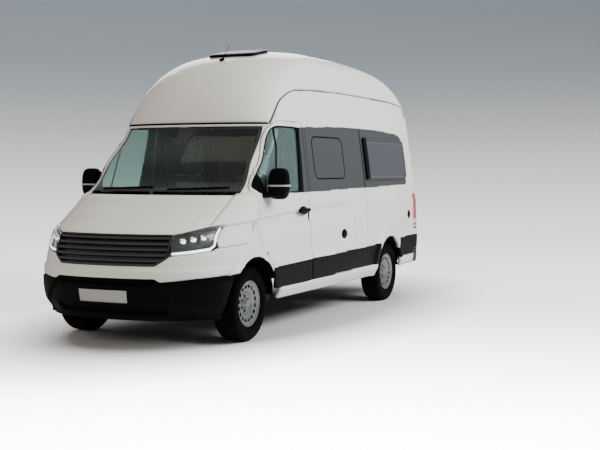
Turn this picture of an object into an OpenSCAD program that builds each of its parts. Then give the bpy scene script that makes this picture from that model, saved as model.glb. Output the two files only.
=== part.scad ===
// Camper van with a high roof, as an assembly of separate pieces.
// X runs forward, Y to the left and Z up. Zero is the middle of the footprint on the ground.

/* [Overall] */
// Length over both bumpers
length = 5986; // [5600:1:6900]
// Width of the body without its mirrors
width = 2040; // [1960:1:2120]
// Height of the roof's crown
height = 2971; // [2850:1:3100]
// Distance between the axles, by the length
wheelbase_share = 0.6081; // [0.58:0.001:0.64]
// Front axle to the front end, by the length
front_overhang_share = 0.1671; // [0.16:0.001:0.175]
// Distance between the wheel centres of one axle, by the width
track_share = 0.8544; // [0.83:0.001:0.87]
// How much narrower the body is at its rear end
rear_taper_share = 0.045; // [0:0.005:0.06]
// Length of the curved part of the nose, seen from above, by half the length
nose_share = 0.3007; // [0.285:0.001:0.317]
// Fullness of the corners, seen from above
plan_power = 2.5; // [2.2:0.1:3]

/* [Wheels] */
// Radius of the tyre
tyre_radius = 356; // [345:1:362]
// Width of the tyre
tyre_width = 235; // [205:1:245]
// Radius of the rim's flange
rim_radius = 222; // [210:1:230]
// Width over the rim's flanges
rim_width = 190; // [170:1:200]
// Thickness of the rim's metal
rim_wall = 8; // [6:0.5:12]
// Slots in the wheel disc
slot_count = 16; // [8:1:20]
// Length of one slot
slot_length = 34; // [20:1:40]
// Width of one slot
slot_width = 22; // [12:1:26]
// Wheel bolts
bolt_count = 6; // [5:1:8]
// Radius of a bolt's head
bolt_radius = 12; // [9:0.5:14]
// Radius of the brake disc
disc_radius = 145; // [120:1:155]
// Radius of the wheel opening in the body
arch_radius = 445; // [430:1:470]
// Thickness of the wheel housing
liner_wall = 6; // [3:0.5:10]
// Place of the housing's inner side, by half the width
liner_inner_share = 0.549; // [0.53:0.001:0.57]
// Place of the housing's outer side, by half the width
liner_outer_share = 0.8725; // [0.863:0.0005:0.876]
// Distance of the steering axis from the wheel's middle
kingpin_inset = 76; // [60:1:90]
// Radius of the steering pin
kingpin_radius = 16; // [12:1:20]
// Radius of the wheel's spindle
spindle_radius = 30; // [24:1:36]

/* [Body shell] */
// Thickness of walls and doors
wall = 50; // [40:1:60]
// Radius of a sharp corner
sharp_radius = 1; // [0.5:0.1:2]
// Thickness of the front wings
wing_wall = 8; // [6:0.5:12]
// Thickness of the roof
roof_wall = 40; // [30:1:60]
// Gap round a moving panel
shut_gap = 7; // [6:0.5:9]
// Gap between fixed panels
fit = 0.5; // [0.4:0.1:0.8]
// Running play of a pin in its bore
play = 0.05; // [0.02:0.01:0.1]
// Lower edge of the side walls, by the height
sill_share = 0.1161; // [0.108:0.001:0.125]
// Top of the floor, by the height
floor_share = 0.202; // [0.199:0.001:0.209]
// Thickness of the floor
floor_wall = 40; // [30:1:40]
// Height of the roof's seam, by the height
seam_share = 0.8213; // [0.808:0.001:0.835]
// Height of the waist line under the windows, by the height
belt_share = 0.4679; // [0.461:0.001:0.475]

/* [Cab] */
// Rear edge of the cab doors behind the front axle, by the length
door_rear_share = 0.2167; // [0.214:0.001:0.219]
// Foremost point of the cab doors behind the front axle, by the length
door_front_share = 0.018; // [0.0165:0.0005:0.02]
// Lower edge of the cab doors, by the height
door_bottom_share = 0.1548; // [0.151:0.001:0.162]
// Upper edge of the cab doors, by the height
door_top_share = 0.7095; // [0.705:0.001:0.712]
// Distance of a door's hinge axis ahead of its foremost point
hinge_ahead = 32; // [28:1:36]
// Depth of a door's hinge axis below the skin
hinge_depth = 17; // [16:0.5:18]
// Radius of a hinge pin
hinge_pin_radius = 6; // [5:0.5:7]
// Radius of a hinge eye
hinge_eye_radius = 9; // [8.5:0.5:10]
// Height of a hinge eye
hinge_eye_height = 40; // [30:1:60]
// Angle from the middle to the side edge of the windscreen
screen_angle = 57; // [55:0.5:59]
// Angle from the middle to the side edge of the bonnet
bonnet_angle = 52; // [50:0.5:54]
// Rear edge of the bonnet, by the height
bonnet_rear_share = 0.4628; // [0.461:0.001:0.465]
// Depth of the bonnet, measured along the van
bonnet_depth = 60; // [50:1:80]
// Thickness of the glass
glass = 6; // [4:0.5:8]

/* [Rear] */
// Half width of the rear door opening, by half the width
rear_open_share = 0.7745; // [0.755:0.001:0.784]
// Lower edge of the rear doors, by the height
rear_door_bottom_share = 0.1925; // [0.191:0.001:0.199]
// Upper edge of the rear doors, by the height
rear_door_top_share = 0.7728; // [0.764:0.001:0.774]
// How far a rear hinge axis stands out from the skin
rear_hinge_out = 20; // [16:1:24]
// Lower edge of the rear bumper, by the height
rear_bumper_share = 0.1319; // [0.128:0.001:0.138]

/* [Front] */
// Lower edge of the front bumper, by the height
bumper_bottom_share = 0.0892; // [0.086:0.001:0.1]
// Upper edge of the bumper in the middle, by the height
bumper_top_share = 0.2181; // [0.212:0.001:0.222]
// Lower edge of the grille, by the height
grille_bottom_share = 0.2551; // [0.252:0.001:0.259]
// Upper edge of the grille, by the height
grille_top_share = 0.344; // [0.341:0.001:0.347]
// Angle from the middle to the lower corner of the grille
grille_low_angle = 24.7; // [23:0.1:26]
// Angle from the middle to the grille's end
grille_angle = 31.5; // [30.5:0.1:32.5]
// Angle from the middle to the lamp's rear end
lamp_angle = 62.5; // [61.5:0.1:64]
// Slots between the bars of the grille
grille_slots = 5; // [3:1:7]

/* [Inside] */
// Width of a cab seat, by the width
seat_width_share = 0.2451; // [0.23:0.001:0.26]
// Distance of a cab seat from the middle, by half the width
seat_share = 0.4216; // [0.4:0.001:0.45]
// Height of the seat's cushion, by the height
seat_high_share = 0.3299; // [0.32:0.001:0.34]
// Height of the kitchen and the cupboards, by the height
cabinet_share = 0.5049; // [0.48:0.001:0.52]
// Height of the rear bed, by the height
bed_share = 0.3871; // [0.36:0.001:0.4]

/* [Hidden] */
$fn = 48;
half_length = length/2;
half_width = width/2;
// Places along the van
nose_length = nose_share*half_length;
front_axle_x = half_length - front_overhang_share*length;
rear_axle_x = front_axle_x - wheelbase_share*length;
// Places across the van
wheel_y = 0.5*track_share*width;
liner_inner_y = liner_inner_share*half_width;
liner_outer_y = liner_outer_share*half_width;
rear_open_y = rear_open_share*half_width;
seat_width = seat_width_share*width;
seat_y = seat_share*half_width;
// Heights
axle_z = tyre_radius;
sill_z = sill_share*height;
floor_z = floor_share*height;
seam_z = seam_share*height;
belt_z = belt_share*height;
door_bottom_z = door_bottom_share*height;
door_top_z = door_top_share*height;
bonnet_rear_z = bonnet_rear_share*height;
rear_door_bottom_z = rear_door_bottom_share*height;
rear_door_top_z = rear_door_top_share*height;
rear_bumper_z = rear_bumper_share*height;
bumper_bottom_z = bumper_bottom_share*height;
bumper_top_z = bumper_top_share*height;
grille_bottom_z = grille_bottom_share*height;
grille_top_z = grille_top_share*height;
seat_z = seat_high_share*height;
cabinet_z = cabinet_share*height;
bed_z = bed_share*height;
// Columns: height, front end, half width, nose curve, rear end, tail curve
body_level_shares = [
    [0.101, 0.964, 0.949, 1.000, 0.971, 0.133],
    [0.141, 0.992, 0.983, 1.000, 0.979, 0.133],
    [0.188, 1.000, 0.994, 1.000, 0.984, 0.133],
    [0.242, 0.998, 1.000, 1.000, 0.986, 0.133],
    [0.296, 0.986, 1.000, 1.000, 0.986, 0.133],
    [0.337, 0.970, 0.998, 0.989, 0.986, 0.133],
    [0.352, 0.956, 0.997, 0.967, 0.986, 0.133],
    [0.367, 0.927, 0.996, 0.922, 0.985, 0.133],
    [0.392, 0.876, 0.996, 0.811, 0.985, 0.133],
    [0.400, 0.861, 0.987, 0.778, 0.985, 0.133],
    [0.434, 0.792, 0.979, 0.622, 0.984, 0.133],
    [0.463, 0.735, 0.970, 0.489, 0.984, 0.133],
    [0.4695, 0.710, 0.968, 0.472, 0.983, 0.133],
    [0.572, 0.613, 0.932, 0.456, 0.980, 0.133],
    [0.685, 0.506, 0.890, 0.444, 0.974, 0.133],
    [0.703, 0.500, 0.886, 0.450, 0.973, 0.133],
    [0.740, 0.486, 0.869, 0.500, 0.970, 0.144],
    [0.784, 0.460, 0.853, 0.540, 0.962, 0.167],
    [0.825, 0.426, 0.837, 0.570, 0.946, 0.233],
    [0.865, 0.380, 0.816, 0.600, 0.912, 0.340],
    [0.902, 0.328, 0.784, 0.640, 0.859, 0.470],
    [0.932, 0.272, 0.737, 0.680, 0.789, 0.600],
    [0.956, 0.204, 0.668, 0.700, 0.698, 0.700],
    [0.974, 0.124, 0.555, 0.680, 0.588, 0.720],
    [0.988, 0.034, 0.400, 0.560, 0.468, 0.640],
    [0.996, -0.060, 0.210, 0.350, 0.334, 0.400]
];
level_z = [for (r = body_level_shares) r[0]*height];
function level_column(k, unit) = [for (r = body_level_shares) [r[0]*height, r[k]*unit]];
front_column = level_column(1, half_length);
width_column = level_column(2, half_width);
nose_column = level_column(3, nose_length);
rear_column = level_column(4, -half_length);
tail_column = level_column(5, nose_length);
function front_at(z) = lookup(z, front_column);
function width_at(z) = lookup(z, width_column);
function nose_at(z) = lookup(z, nose_column);
function rear_at(z) = lookup(z, rear_column);
function tail_at(z) = lookup(z, tail_column);
function mix(a, b, t) = a + (b - a)*t;
function unit(v) = v/norm(v);
function taper(x) = 1 - rear_taper_share*pow(max(0, -x)/half_length, 2);
function bow(s) = pow(max(0, 1 - pow(max(0, s), plan_power)), 1/plan_power);
// Point of the skin at angle a round the nose, moved in by t
function nose_point(a, z, t) = let (n = nose_at(z)) [
    front_at(z) - n + (n - t)*pow(abs(cos(a)), 2/plan_power),
    sign(a)*(width_at(z) - t)*pow(abs(sin(a)), 2/plan_power),
    z
];
// Half width of the skin at a place along the van, moved in by t
function side_y(x, z, t) = let (
    n = nose_at(z),
    q = tail_at(z),
    w = width_at(z)*taper(max(x, rear_at(z) + q)) - t
) w*bow(max((x - front_at(z) + n)/(n - t), (rear_at(z) + q - x)/(q - t)));
function corner_width(z, t) = width_at(z)*taper(rear_at(z) + tail_at(z)) - t;
// Place along the van of the rear skin, moved in by t
function tail_x(y, z, t) = rear_at(z) + tail_at(z) - (tail_at(z) - t)*bow(abs(y)/corner_width(z, t));
// Point of the skin at angle b round the tail, moved in by t
function tail_point(b, z, t) = [
    rear_at(z) + tail_at(z) - (tail_at(z) - t)*pow(abs(cos(b)), 2/plan_power),
    sign(b)*corner_width(z, t)*pow(abs(sin(b)), 2/plan_power),
    z
];
// Angle round the tail at which the skin reaches the half width y
function tail_angle(y, z) = asin(min(1, pow(y/corner_width(z, 0), plan_power/2)));
// Where the straight side ends and the nose begins, but no further than x
function side_end(z, x) = min(x, front_at(z) - nose_at(z));
// Heights between two limits at which the skin changes its slope
function levels(lo, hi) =
    concat([lo], [for (z = level_z) if (z > lo + sharp_radius && z < hi - sharp_radius) z], [hi]);
function spread(lo, hi, n) = [for (i = [0:n]) mix(lo, hi, i/n)];
// Outline whose corners are rounded: each point is place, height and radius
function rounded(p, steps = 4) = let (n = len(p)) [
    for (i = [0:n - 1]) let (
        b = [p[i][0], p[i][1]],
        a = [p[(i + n - 1)%n][0], p[(i + n - 1)%n][1]],
        c = [p[(i + 1)%n][0], p[(i + 1)%n][1]],
        u = unit(a - b),
        v = unit(c - b),
        half = acos(u*v)/2,
        r = p[i][2],
        middle = b + unit(u + v)*r/sin(half),
        s = b + u*r/tan(half),
        e = b + v*r/tan(half)
    ) for (k = [0:steps]) middle + r*unit(mix(s, e, k/steps) - middle)
];

function slab_faces(m, n) = let (k = m*n) concat(
    [for (i = [0:m - 2], j = [0:n - 2]) let (a = i*n + j) each [
        [a, a + 1, a + n + 1],
        [a, a + n + 1, a + n],
        [a + k, a + n + 1 + k, a + 1 + k],
        [a + k, a + n + k, a + n + 1 + k]
    ]],
    [for (j = [0:n - 2]) let (a = j, d = (m - 1)*n + j) each [
        [a + 1, a, a + k],
        [a + 1, a + k, a + 1 + k],
        [d, d + 1, d + 1 + k],
        [d, d + 1 + k, d + k]
    ]],
    [for (i = [0:m - 2]) let (a = i*n, b = i*n + n - 1) each [
        [a, a + n, a + n + k],
        [a, a + n + k, a + k],
        [b + n, b, b + k],
        [b + n, b + k, b + n + k]
    ]]
);
// Solid between an outer and an inner grid of points
module slab(outer, inner) {
    m = len(outer);
    n = len(outer[0]);
    points = concat([for (r = outer) each r], [for (r = inner) each r]);
    polyhedron(points = points, faces = slab_faces(m, n), convexity = 8);
}
// Band of the nose between two angles, with its lower and upper edge looked up by angle
module nose_band(angles, low, high, t0, t1, rows) {
    outer = [for (i = [0:rows]) [for (a = angles)
        nose_point(a, mix(lookup(abs(a), low), lookup(abs(a), high), i/rows), t0)]];
    inner = [for (i = [0:rows]) [for (a = angles)
        nose_point(a, mix(lookup(abs(a), low), lookup(abs(a), high), i/rows), t1)]];
    slab(outer, inner);
}
// Band of the nose that follows the skin's own levels
module nose_shell(angles, lo, hi, t0, t1) {
    slab([for (z = levels(lo, hi)) [for (a = angles) nose_point(a, z, t0)]],
         [for (z = levels(lo, hi)) [for (a = angles) nose_point(a, z, t1)]]);
}
module side_prism(outline, y0, y1) {
    translate([0, y1, 0])
        rotate([90, 0, 0])
            linear_extrude(y1 - y0)
                polygon(outline);
}
module front_prism(outline, x0, x1) {
    translate([x0, 0, 0])
        rotate([90, 0, 90])
            linear_extrude(x1 - x0)
                polygon(outline);
}
module box(lo, hi) {
    translate(lo)
        cube(hi - lo);
}
module rod_y(x, z, y0, y1, r) {
    translate([x, y1, z])
        rotate([90, 0, 0])
            cylinder(h = y1 - y0, r = r);
}
module post(x, y, z0, z1, r) {
    translate([x, y, z0])
        cylinder(h = z1 - z0, r = r);
}
module both_sides() {
    children();
    mirror([0, 1, 0])
        children();
}
module arches(r) {
    rod_y(front_axle_x, axle_z, -width, width, r, $fn = 180);
    rod_y(rear_axle_x, axle_z, -width, width, r, $fn = 180);
}
// Cab door: foremost and rear edge, and the outline grown by g
door_front_x = front_axle_x - door_front_share*length;
door_rear_x = front_axle_x - door_rear_share*length;
door_long = door_front_x - door_rear_x;
door_tall = door_top_z - door_bottom_z;
corner_r = wall;
// Columns: place along the door, height, corner radius
door_outline_shares = [
    [0.000, 0.000, 0.6],
    [0.000, 1.000, 0.9],
    [0.481, 1.000, 5.0],
    [1.000, 0.575, 0.5],
    [0.963, 0.520, 1.0],
    [0.964, 0.350, 3.0],
    [0.948, 0.257, 2.5],
    [0.785, 0.135, 2.0],
    [0.760, 0.000, 0.6]
];
door_outline = rounded([for (s = door_outline_shares)
    [door_rear_x + s[0]*door_long, door_bottom_z + s[1]*door_tall, s[2]*corner_r]]);
module door_shape(g) {
    offset(delta = g)
        polygon(door_outline);
}
module door_prism(g, y0, y1) {
    translate([0, y1, 0])
        rotate([90, 0, 0])
            linear_extrude(y1 - y0)
                door_shape(g);
}
// Columns: place along the door, height, corner radius
door_window_shares = [
    [0.070, 0.560, 1.2],
    [0.070, 0.967, 1.2],
    [0.490, 0.967, 3.0],
    [0.955, 0.595, 0.6],
    [0.920, 0.566, 1.0]
];
door_window = rounded([for (s = door_window_shares)
    [door_rear_x + s[0]*door_long, door_bottom_z + s[1]*door_tall, s[2]*corner_r]]);
// Side wall: outline below the roof's seam
wall_front_x = door_rear_x - shut_gap;
// Columns: place along the half length, height along the seam's height, corner radius
seam_shares = [
    [0.470, 0.851, 0.2],
    [0.360, 0.982, 1.2],
    [0.290, 1.000, 3.0],
    [-0.870, 1.000, 2.0],
    [-0.915, 0.945, 1.0]
];
seam_points = [for (s = seam_shares) [s[0]*half_length, s[1]*seam_z, s[2]*corner_r]];
seam_front = seam_points[0];
seam_last = seam_points[len(seam_points) - 1];
bumper_side_x = rear_at(sill_z)*0.93;
wall_outline = rounded(concat(seam_points, [
    [-half_length, seam_last[1], sharp_radius],
    [-half_length, rear_door_bottom_z - fit, sharp_radius],
    [bumper_side_x, rear_door_bottom_z - fit, sharp_radius],
    [bumper_side_x, rear_bumper_z, corner_r],
    [rear_axle_x, rear_bumper_z, sharp_radius],
    [rear_axle_x, sill_z, sharp_radius],
    [front_axle_x - arch_radius, sill_z, sharp_radius],
    [front_axle_x - arch_radius, door_bottom_z, sharp_radius],
    [door_rear_x + corner_r, door_bottom_z, sharp_radius],
    [door_rear_x + corner_r, seam_front[1], sharp_radius]
]));
// Side windows: place along the half length, height, corner radius
window_low_z = belt_z + 0.085*belt_z;
window_high_z = door_top_z - 0.065*door_top_z;
rear_window_shares = [[-0.335, 0, 1.6], [-0.335, 1, 1.6], [-0.800, 1, 1.6], [-0.800, 0, 1.6]];
rear_window = rounded([for (s = rear_window_shares)
    [s[0]*half_length, mix(window_low_z, window_high_z, s[1]), s[2]*corner_r]]);
slide_window_shares = [[0.180, 0, 1.6], [0.180, 1, 1.6], [-0.125, 1, 1.6], [-0.125, 0, 1.6]];
slide_window = rounded([for (s = slide_window_shares)
    [s[0]*half_length, mix(window_low_z, window_high_z, s[1]), s[2]*corner_r]]);
window_frame = 0.7*wall;
window_out_y = side_y(rear_axle_x, window_low_z, 0) + 0.2*wall;
// Sliding door on the right: edges
slide_front_x = wall_front_x - 0.5*wall;
slide_rear_x = -0.19*half_length;
slide_door = rounded([
    [slide_front_x, door_bottom_z, corner_r],
    [slide_front_x, door_top_z, 2*corner_r],
    [slide_rear_x, door_top_z, 2*corner_r],
    [slide_rear_x, door_bottom_z, corner_r]
]);
nose_side = 88;
// Angles at which the edges of the nose's bands bend
step_angle = 0.5*(grille_low_angle + grille_angle);
lamp_inner_angle = grille_angle + 0.8;
lamp_low_angle = lamp_angle - 2.5;
wing_angle = mix(lamp_angle, nose_side, 0.3);
wing_rear_angle = mix(lamp_angle, nose_side, 0.57);
lamp_angles = [lamp_angle, lamp_low_angle, 54, 48, 43, 38, lamp_inner_angle];
// Edges of the nose's bands: angle, height
bumper_low = [[0, bumper_bottom_z], [90, bumper_bottom_z]];
bumper_high = [[0, bumper_top_z], [grille_low_angle, bumper_top_z], [step_angle, 0.953*bumper_top_z],
    [48, 0.995*bumper_top_z], [wing_rear_angle, 1.031*bumper_top_z], [90, 1.037*bumper_top_z]];
fascia_low = [for (p = bumper_high) [p[0], p[1] + fit]];
fascia_high = [[0, grille_bottom_z], [grille_low_angle, grille_bottom_z],
    [grille_angle, 1.092*grille_bottom_z], [lamp_inner_angle, 1.112*grille_bottom_z],
    [43, 1.132*grille_bottom_z], [lamp_low_angle, 1.169*grille_bottom_z],
    [lamp_angle, 1.195*grille_bottom_z], [90, 1.23*grille_bottom_z]];
wing_low = [for (p = fascia_high) [p[0], p[1] + fit]];
lamp_high = [[0, grille_top_z], [grille_angle, 1.005*grille_top_z], [48, 1.063*grille_top_z],
    [lamp_angle, 1.082*grille_top_z], [90, 1.1*grille_top_z]];
bonnet_low = [for (p = lamp_high) [p[0], p[1] + shut_gap]];
bonnet_high = [[0, bonnet_rear_z], [90, bonnet_rear_z]];
half_nose = concat([0, 8, 16, grille_low_angle, step_angle, grille_angle],
    [for (i = [len(lamp_angles) - 1:-1:0]) lamp_angles[i]], [wing_angle, wing_rear_angle, nose_side]);
nose_angles = concat([for (i = [len(half_nose) - 1:-1:1]) half_nose[i]], [for (a = half_nose) -a]);

// Tail lamp patch: from the rear face round the corner onto the side
lamp_low_z = 0.63*belt_z;
lamp_high_z = 0.93*belt_z;
lamp_corner = [56, 63, 70, 77, 84];
lamp_side = 0.06*nose_length;
function lamp_side_point(ahead, z, t) = let (x = rear_at(z) + tail_at(z) + ahead) [x, side_y(x, z, t), z];
module tail_lamp_patch(t0, t1, g) {
    rows = levels(lamp_low_z - g, lamp_high_z + g);
    slab(
        [for (z = rows) concat([for (b = lamp_corner) tail_point(b - g*0.4, z, t0)],
            [for (s = [0.3, 1]) lamp_side_point(s*(lamp_side + g), z, t0)])],
        [for (z = rows) concat([for (b = lamp_corner) tail_point(b - g*0.4, z, t1)],
            [for (s = [0.3, 1]) lamp_side_point(s*(lamp_side + g), z, t1)])]
    );
}

// Hinges of the cab doors
door_axis_x = door_front_x + hinge_ahead;
door_axis_y = side_y(door_axis_x, belt_z*0.7, 0) - hinge_depth;
door_hinge_z = [0.635*belt_z, 0.79*belt_z];
// Depth of the hinge neck below the axis, its reach to the rear and its thickness
neck_depth = 2.2*wall;
neck_back = 3*wall;
neck_wall = 0.26*wall;
// Thickness of the lugs that hold the pins
lug = 0.2*wall;
module door_arm(z) {
    h = hinge_eye_height;
    difference() {
        union() {
            post(door_axis_x, door_axis_y, z, z + h, hinge_eye_radius);
            box([door_axis_x - hinge_pin_radius, door_axis_y - neck_depth, z],
                [door_axis_x + hinge_pin_radius, door_axis_y, z + h]);
            box([door_axis_x - neck_back - neck_wall, door_axis_y - neck_depth, z],
                [door_axis_x + hinge_pin_radius, door_axis_y - neck_depth + neck_wall, z + h]);
            box([door_axis_x - neck_back - 2*neck_wall, door_axis_y - neck_depth, z],
                [door_axis_x - neck_back, door_axis_y - 0.5*wall, z + h]);
        }
        post(door_axis_x, door_axis_y, z - h, z + 2*h, hinge_pin_radius + play);
    }
}
module door_pins() {
    for (z = door_hinge_z) {
        h = hinge_eye_height;
        post(door_axis_x, door_axis_y, z - fit - lug, z + h + fit + lug, hinge_pin_radius);
        for (s = [z - fit - lug, z + h + fit])
            box([door_axis_x - hinge_pin_radius, door_axis_y - hinge_pin_radius, s],
                [door_axis_x + 2.5*lug, door_axis_y + hinge_pin_radius, s + lug]);
    }
    box([door_axis_x + 1.5*lug, door_axis_y - 7*lug, door_hinge_z[0] - 2*lug],
        [door_axis_x + 4*lug, door_axis_y - 0.5*lug, door_hinge_z[1] + hinge_eye_height + 2*lug]);
    box([door_axis_x + 1.5*lug, door_axis_y - 7*lug, door_hinge_z[1] + hinge_eye_height],
        [door_axis_x + 4*lug, door_axis_y - 4*lug, bonnet_axis_z - 2*bonnet_depth]);
    box([door_axis_x + 1.5*lug, scuttle_y + fit, bonnet_axis_z - 2.4*bonnet_depth],
        [door_axis_x + 4*lug, door_axis_y - 4*lug, bonnet_axis_z - 2*bonnet_depth]);
}

// Hinges of the rear doors
rear_axis_y = rear_open_y;
rear_axis_x = tail_x(rear_open_y, 0.5*belt_z, 0) - rear_hinge_out;
rear_hinge_z = [0.55*belt_z, 0.98*belt_z, 1.34*belt_z];
module rear_arm(z) {
    h = hinge_eye_height;
    difference() {
        union() {
            post(rear_axis_x, rear_axis_y, z, z + h, hinge_eye_radius);
            hull() {
                post(rear_axis_x, rear_axis_y - hinge_eye_radius, z, z + h, hinge_pin_radius);
                post(tail_x(rear_axis_y - 8*lug, z, 0.3*wall), rear_axis_y - 8*lug, z, z + h,
                    hinge_pin_radius);
            }
        }
        post(rear_axis_x, rear_axis_y, z - h, z + 2*h, hinge_pin_radius + play);
    }
}
module rear_pins() {
    for (z = rear_hinge_z) {
        h = hinge_eye_height;
        post(rear_axis_x, rear_axis_y, z - fit - lug, z + h + fit + lug, hinge_pin_radius);
        for (s = [z - fit - lug, z + h + fit])
            hull() {
                post(rear_axis_x, rear_axis_y, s, s + lug, hinge_eye_radius);
                post(tail_x(rear_axis_y + 4*lug, z, 0.4*wall), rear_axis_y + 4*lug, s, s + lug,
                    hinge_eye_radius);
            }
    }
}

// Hinge of the bonnet
bonnet_axis_x = front_at(bonnet_rear_z) - 0.172*nose_length;
bonnet_axis_z = bonnet_rear_z - 0.9*bonnet_depth;
scuttle_y = 0.82*half_width;
bonnet_hinge_y = 0.79*half_width*0.97;

module floor_outline(t) {
    xs = spread(rear_at(floor_z) + 2*wall, front_axle_x - 0.25*arch_radius, 12);
    left = [for (x = xs) [x, side_y(x, floor_z - floor_wall, t)]];
    right = [for (i = [len(xs) - 1:-1:0]) [left[i][0], -left[i][1]]];
    polygon(concat(left, right));
}
bulkhead_x = front_axle_x - 0.25*arch_radius;
module floor_pan() {
    color("dimgray")
        difference() {
            union() {
                translate([0, 0, floor_z - floor_wall])
                    linear_extrude(floor_wall)
                        floor_outline(wall + fit);
                box([bulkhead_x - 0.5*floor_wall, -0.8*half_width, floor_z - floor_wall],
                    [bulkhead_x, 0.8*half_width, 0.9*belt_z]);
            }
            for (s = [-1, 1], x = [front_axle_x, rear_axle_x])
                rod_y(x, axle_z, s > 0 ? liner_inner_y - fit : -width, s > 0 ? width : fit - liner_inner_y,
                    arch_radius + 2*liner_wall + fit);
        }
}
module wheel_housings() {
    color("black")
        both_sides()
            for (x = [front_axle_x, rear_axle_x])
                difference() {
                    rod_y(x, axle_z, liner_inner_y, liner_outer_y, arch_radius + 2*liner_wall);
                    rod_y(x, axle_z, liner_inner_y + liner_wall, width, arch_radius + liner_wall);
                    box([x - 1.5*wall, 0, 0],
                        [x + 1.5*wall, liner_inner_y + 2*liner_wall, eye_high_z + wall]);
                    box([x - length, -width, -height], [x + length, width, axle_z + 0.1*tyre_radius]);
                }
}
module mudflaps() {
    color("black")
        both_sides()
            box([front_axle_x - arch_radius - 3*liner_wall, liner_outer_y - tyre_width, 0.6*tyre_radius],
                [front_axle_x - arch_radius - liner_wall, liner_outer_y, axle_z + 0.1*tyre_radius - fit]);
}
corner_steps = 4;
side_steps = 6;
front_angles = [84, 74, 64, 54];
// Points of one level of the side skin, from the rear opening to the nose
function side_row(z, t, y0, x1) = let (
    b0 = tail_angle(y0, z),
    x0 = rear_at(z) + tail_at(z),
    x2 = side_end(z, x1)
) concat(
    [for (i = [0:corner_steps - 1]) tail_point(mix(b0, 90, i/corner_steps), z, t)],
    [for (x = spread(x0, x2, side_steps)) [x, side_y(x, z, t), z]],
    [for (a = front_angles) nose_point(a, z, t)]
);
module wall_slab() {
    rows = levels(sill_z - wall, seam_z + wall);
    slab([for (z = rows) side_row(z, 0, rear_open_y, door_rear_x)],
         [for (z = rows) side_row(z, wall, rear_open_y, door_rear_x)]);
}
module side_wall() {
    difference() {
        intersection() {
            wall_slab();
            side_prism(wall_outline, 0, width);
        }
        door_prism(shut_gap, 0, width);
        arches(arch_radius);
        side_prism(rear_window, 0, width);
        box([-length, 0, rear_door_bottom_z - shut_gap],
            [rear_at(belt_z) + 2*wall + tail_at(belt_z), rear_open_y + shut_gap, rear_door_top_z + shut_gap]);
        tail_lamp_patch(-wall, 0.5*wall + fit, fit);
    }
    rear_pins();
}
module side_wall_left() {
    color("white")
        side_wall();
}
module side_wall_right() {
    color("white")
        mirror([0, 1, 0])
            difference() {
                side_wall();
                translate([0, width, 0])
                    rotate([90, 0, 0])
                        linear_extrude(width)
                            offset(delta = fit)
                                polygon(slide_door);
            }
}
module slide_slab() {
    rows = levels(door_bottom_z - wall, door_top_z + wall);
    xs = spread(slide_rear_x - wall, slide_front_x + wall, 3);
    slab([for (z = rows) [for (x = xs) [x, side_y(x, z, 0), z]]],
         [for (z = rows) [for (x = xs) [x, side_y(x, z, wall), z]]]);
}
module sliding_door() {
    color("white")
        mirror([0, 1, 0])
            difference() {
                intersection() {
                    slide_slab();
                    side_prism(slide_door, 0, width);
                }
                side_prism(slide_window, 0, width);
            }
}
// Frame and pane of a window whose outer face stands upright
module window_ring(outline) {
    translate([0, window_out_y, 0])
        rotate([90, 0, 0])
            linear_extrude(2.2*wall)
                difference() {
                    offset(delta = -fit)
                        polygon(outline);
                    offset(delta = -window_frame)
                        polygon(outline);
                }
}
module window_pane(outline) {
    translate([0, window_out_y - 0.1*wall, 0])
        rotate([90, 0, 0])
            linear_extrude(glass)
                offset(delta = -window_frame - fit)
                    polygon(outline);
}
module window_frames() {
    color("black") {
        both_sides()
            window_ring(rear_window);
        mirror([0, 1, 0])
            window_ring(slide_window);
    }
}
module side_windows() {
    color("slategray") {
        both_sides()
            window_pane(rear_window);
        mirror([0, 1, 0])
            window_pane(slide_window);
    }
}
roof_ring_angles = [0, 12, 24, 36, 48, 60, 70, 80];
function ring(z, t) = let (
    left = concat(
        [for (b = roof_ring_angles) if (b > 0) tail_point(b, z, t)],
        [for (s = [0, 0.33, 0.67, 1]) let (x = mix(rear_at(z) + tail_at(z), front_at(z) - nose_at(z), s))
            [x, side_y(x, z, t), z]],
        [for (i = [len(roof_ring_angles) - 1:-1:1]) nose_point(roof_ring_angles[i], z, t)]
    ),
    n = len(left)
) concat([tail_point(0, z, t)], left, [nose_point(0, z, t)],
    [for (i = [n - 1:-1:0]) [left[i][0], -left[i][1], left[i][2]]]);
module dome(lo, t, drop) {
    rows = [for (z = levels(lo, level_z[len(level_z) - 1])) [for (p = ring(z, t)) p - [0, 0, drop]]];
    m = len(rows);
    n = len(rows[0]);
    top = [mix(rear_at(height), front_at(height), 0.5), 0, height - drop];
    points = concat([for (r = rows) each r], [top]);
    faces = concat(
        [for (i = [0:m - 2], j = [0:n - 1]) let (a = i*n + j, b = i*n + (j + 1)%n) each [
            [a, b, b + n], [a, b + n, a + n]]],
        [for (j = [0:n - 1]) [(m - 1)*n + j, (m - 1)*n + (j + 1)%n, m*n]],
        [[for (j = [n - 1:-1:0]) j]]
    );
    polyhedron(points = points, faces = faces, convexity = 8);
}
roof_side = rounded(concat(
    [for (p = seam_points) [p[0], p[1] + fit, p[2]]],
    [[-length, seam_last[1] + fit, sharp_radius], [-length, 2*height, sharp_radius],
     [length, 2*height, sharp_radius], [length, seam_front[1] + fit, sharp_radius]]));
module high_roof() {
    color("white")
        difference() {
            intersection() {
                dome(seam_front[1] - roof_wall, 0, 0);
                side_prism(roof_side, -width, width);
            }
            dome(seam_front[1] - 3*roof_wall, roof_wall, roof_wall);
        }
}
hatch_x = 0.07*half_length;
hatch_half = 0.4*half_width;
hatch_wall = 0.8*wall;
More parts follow.
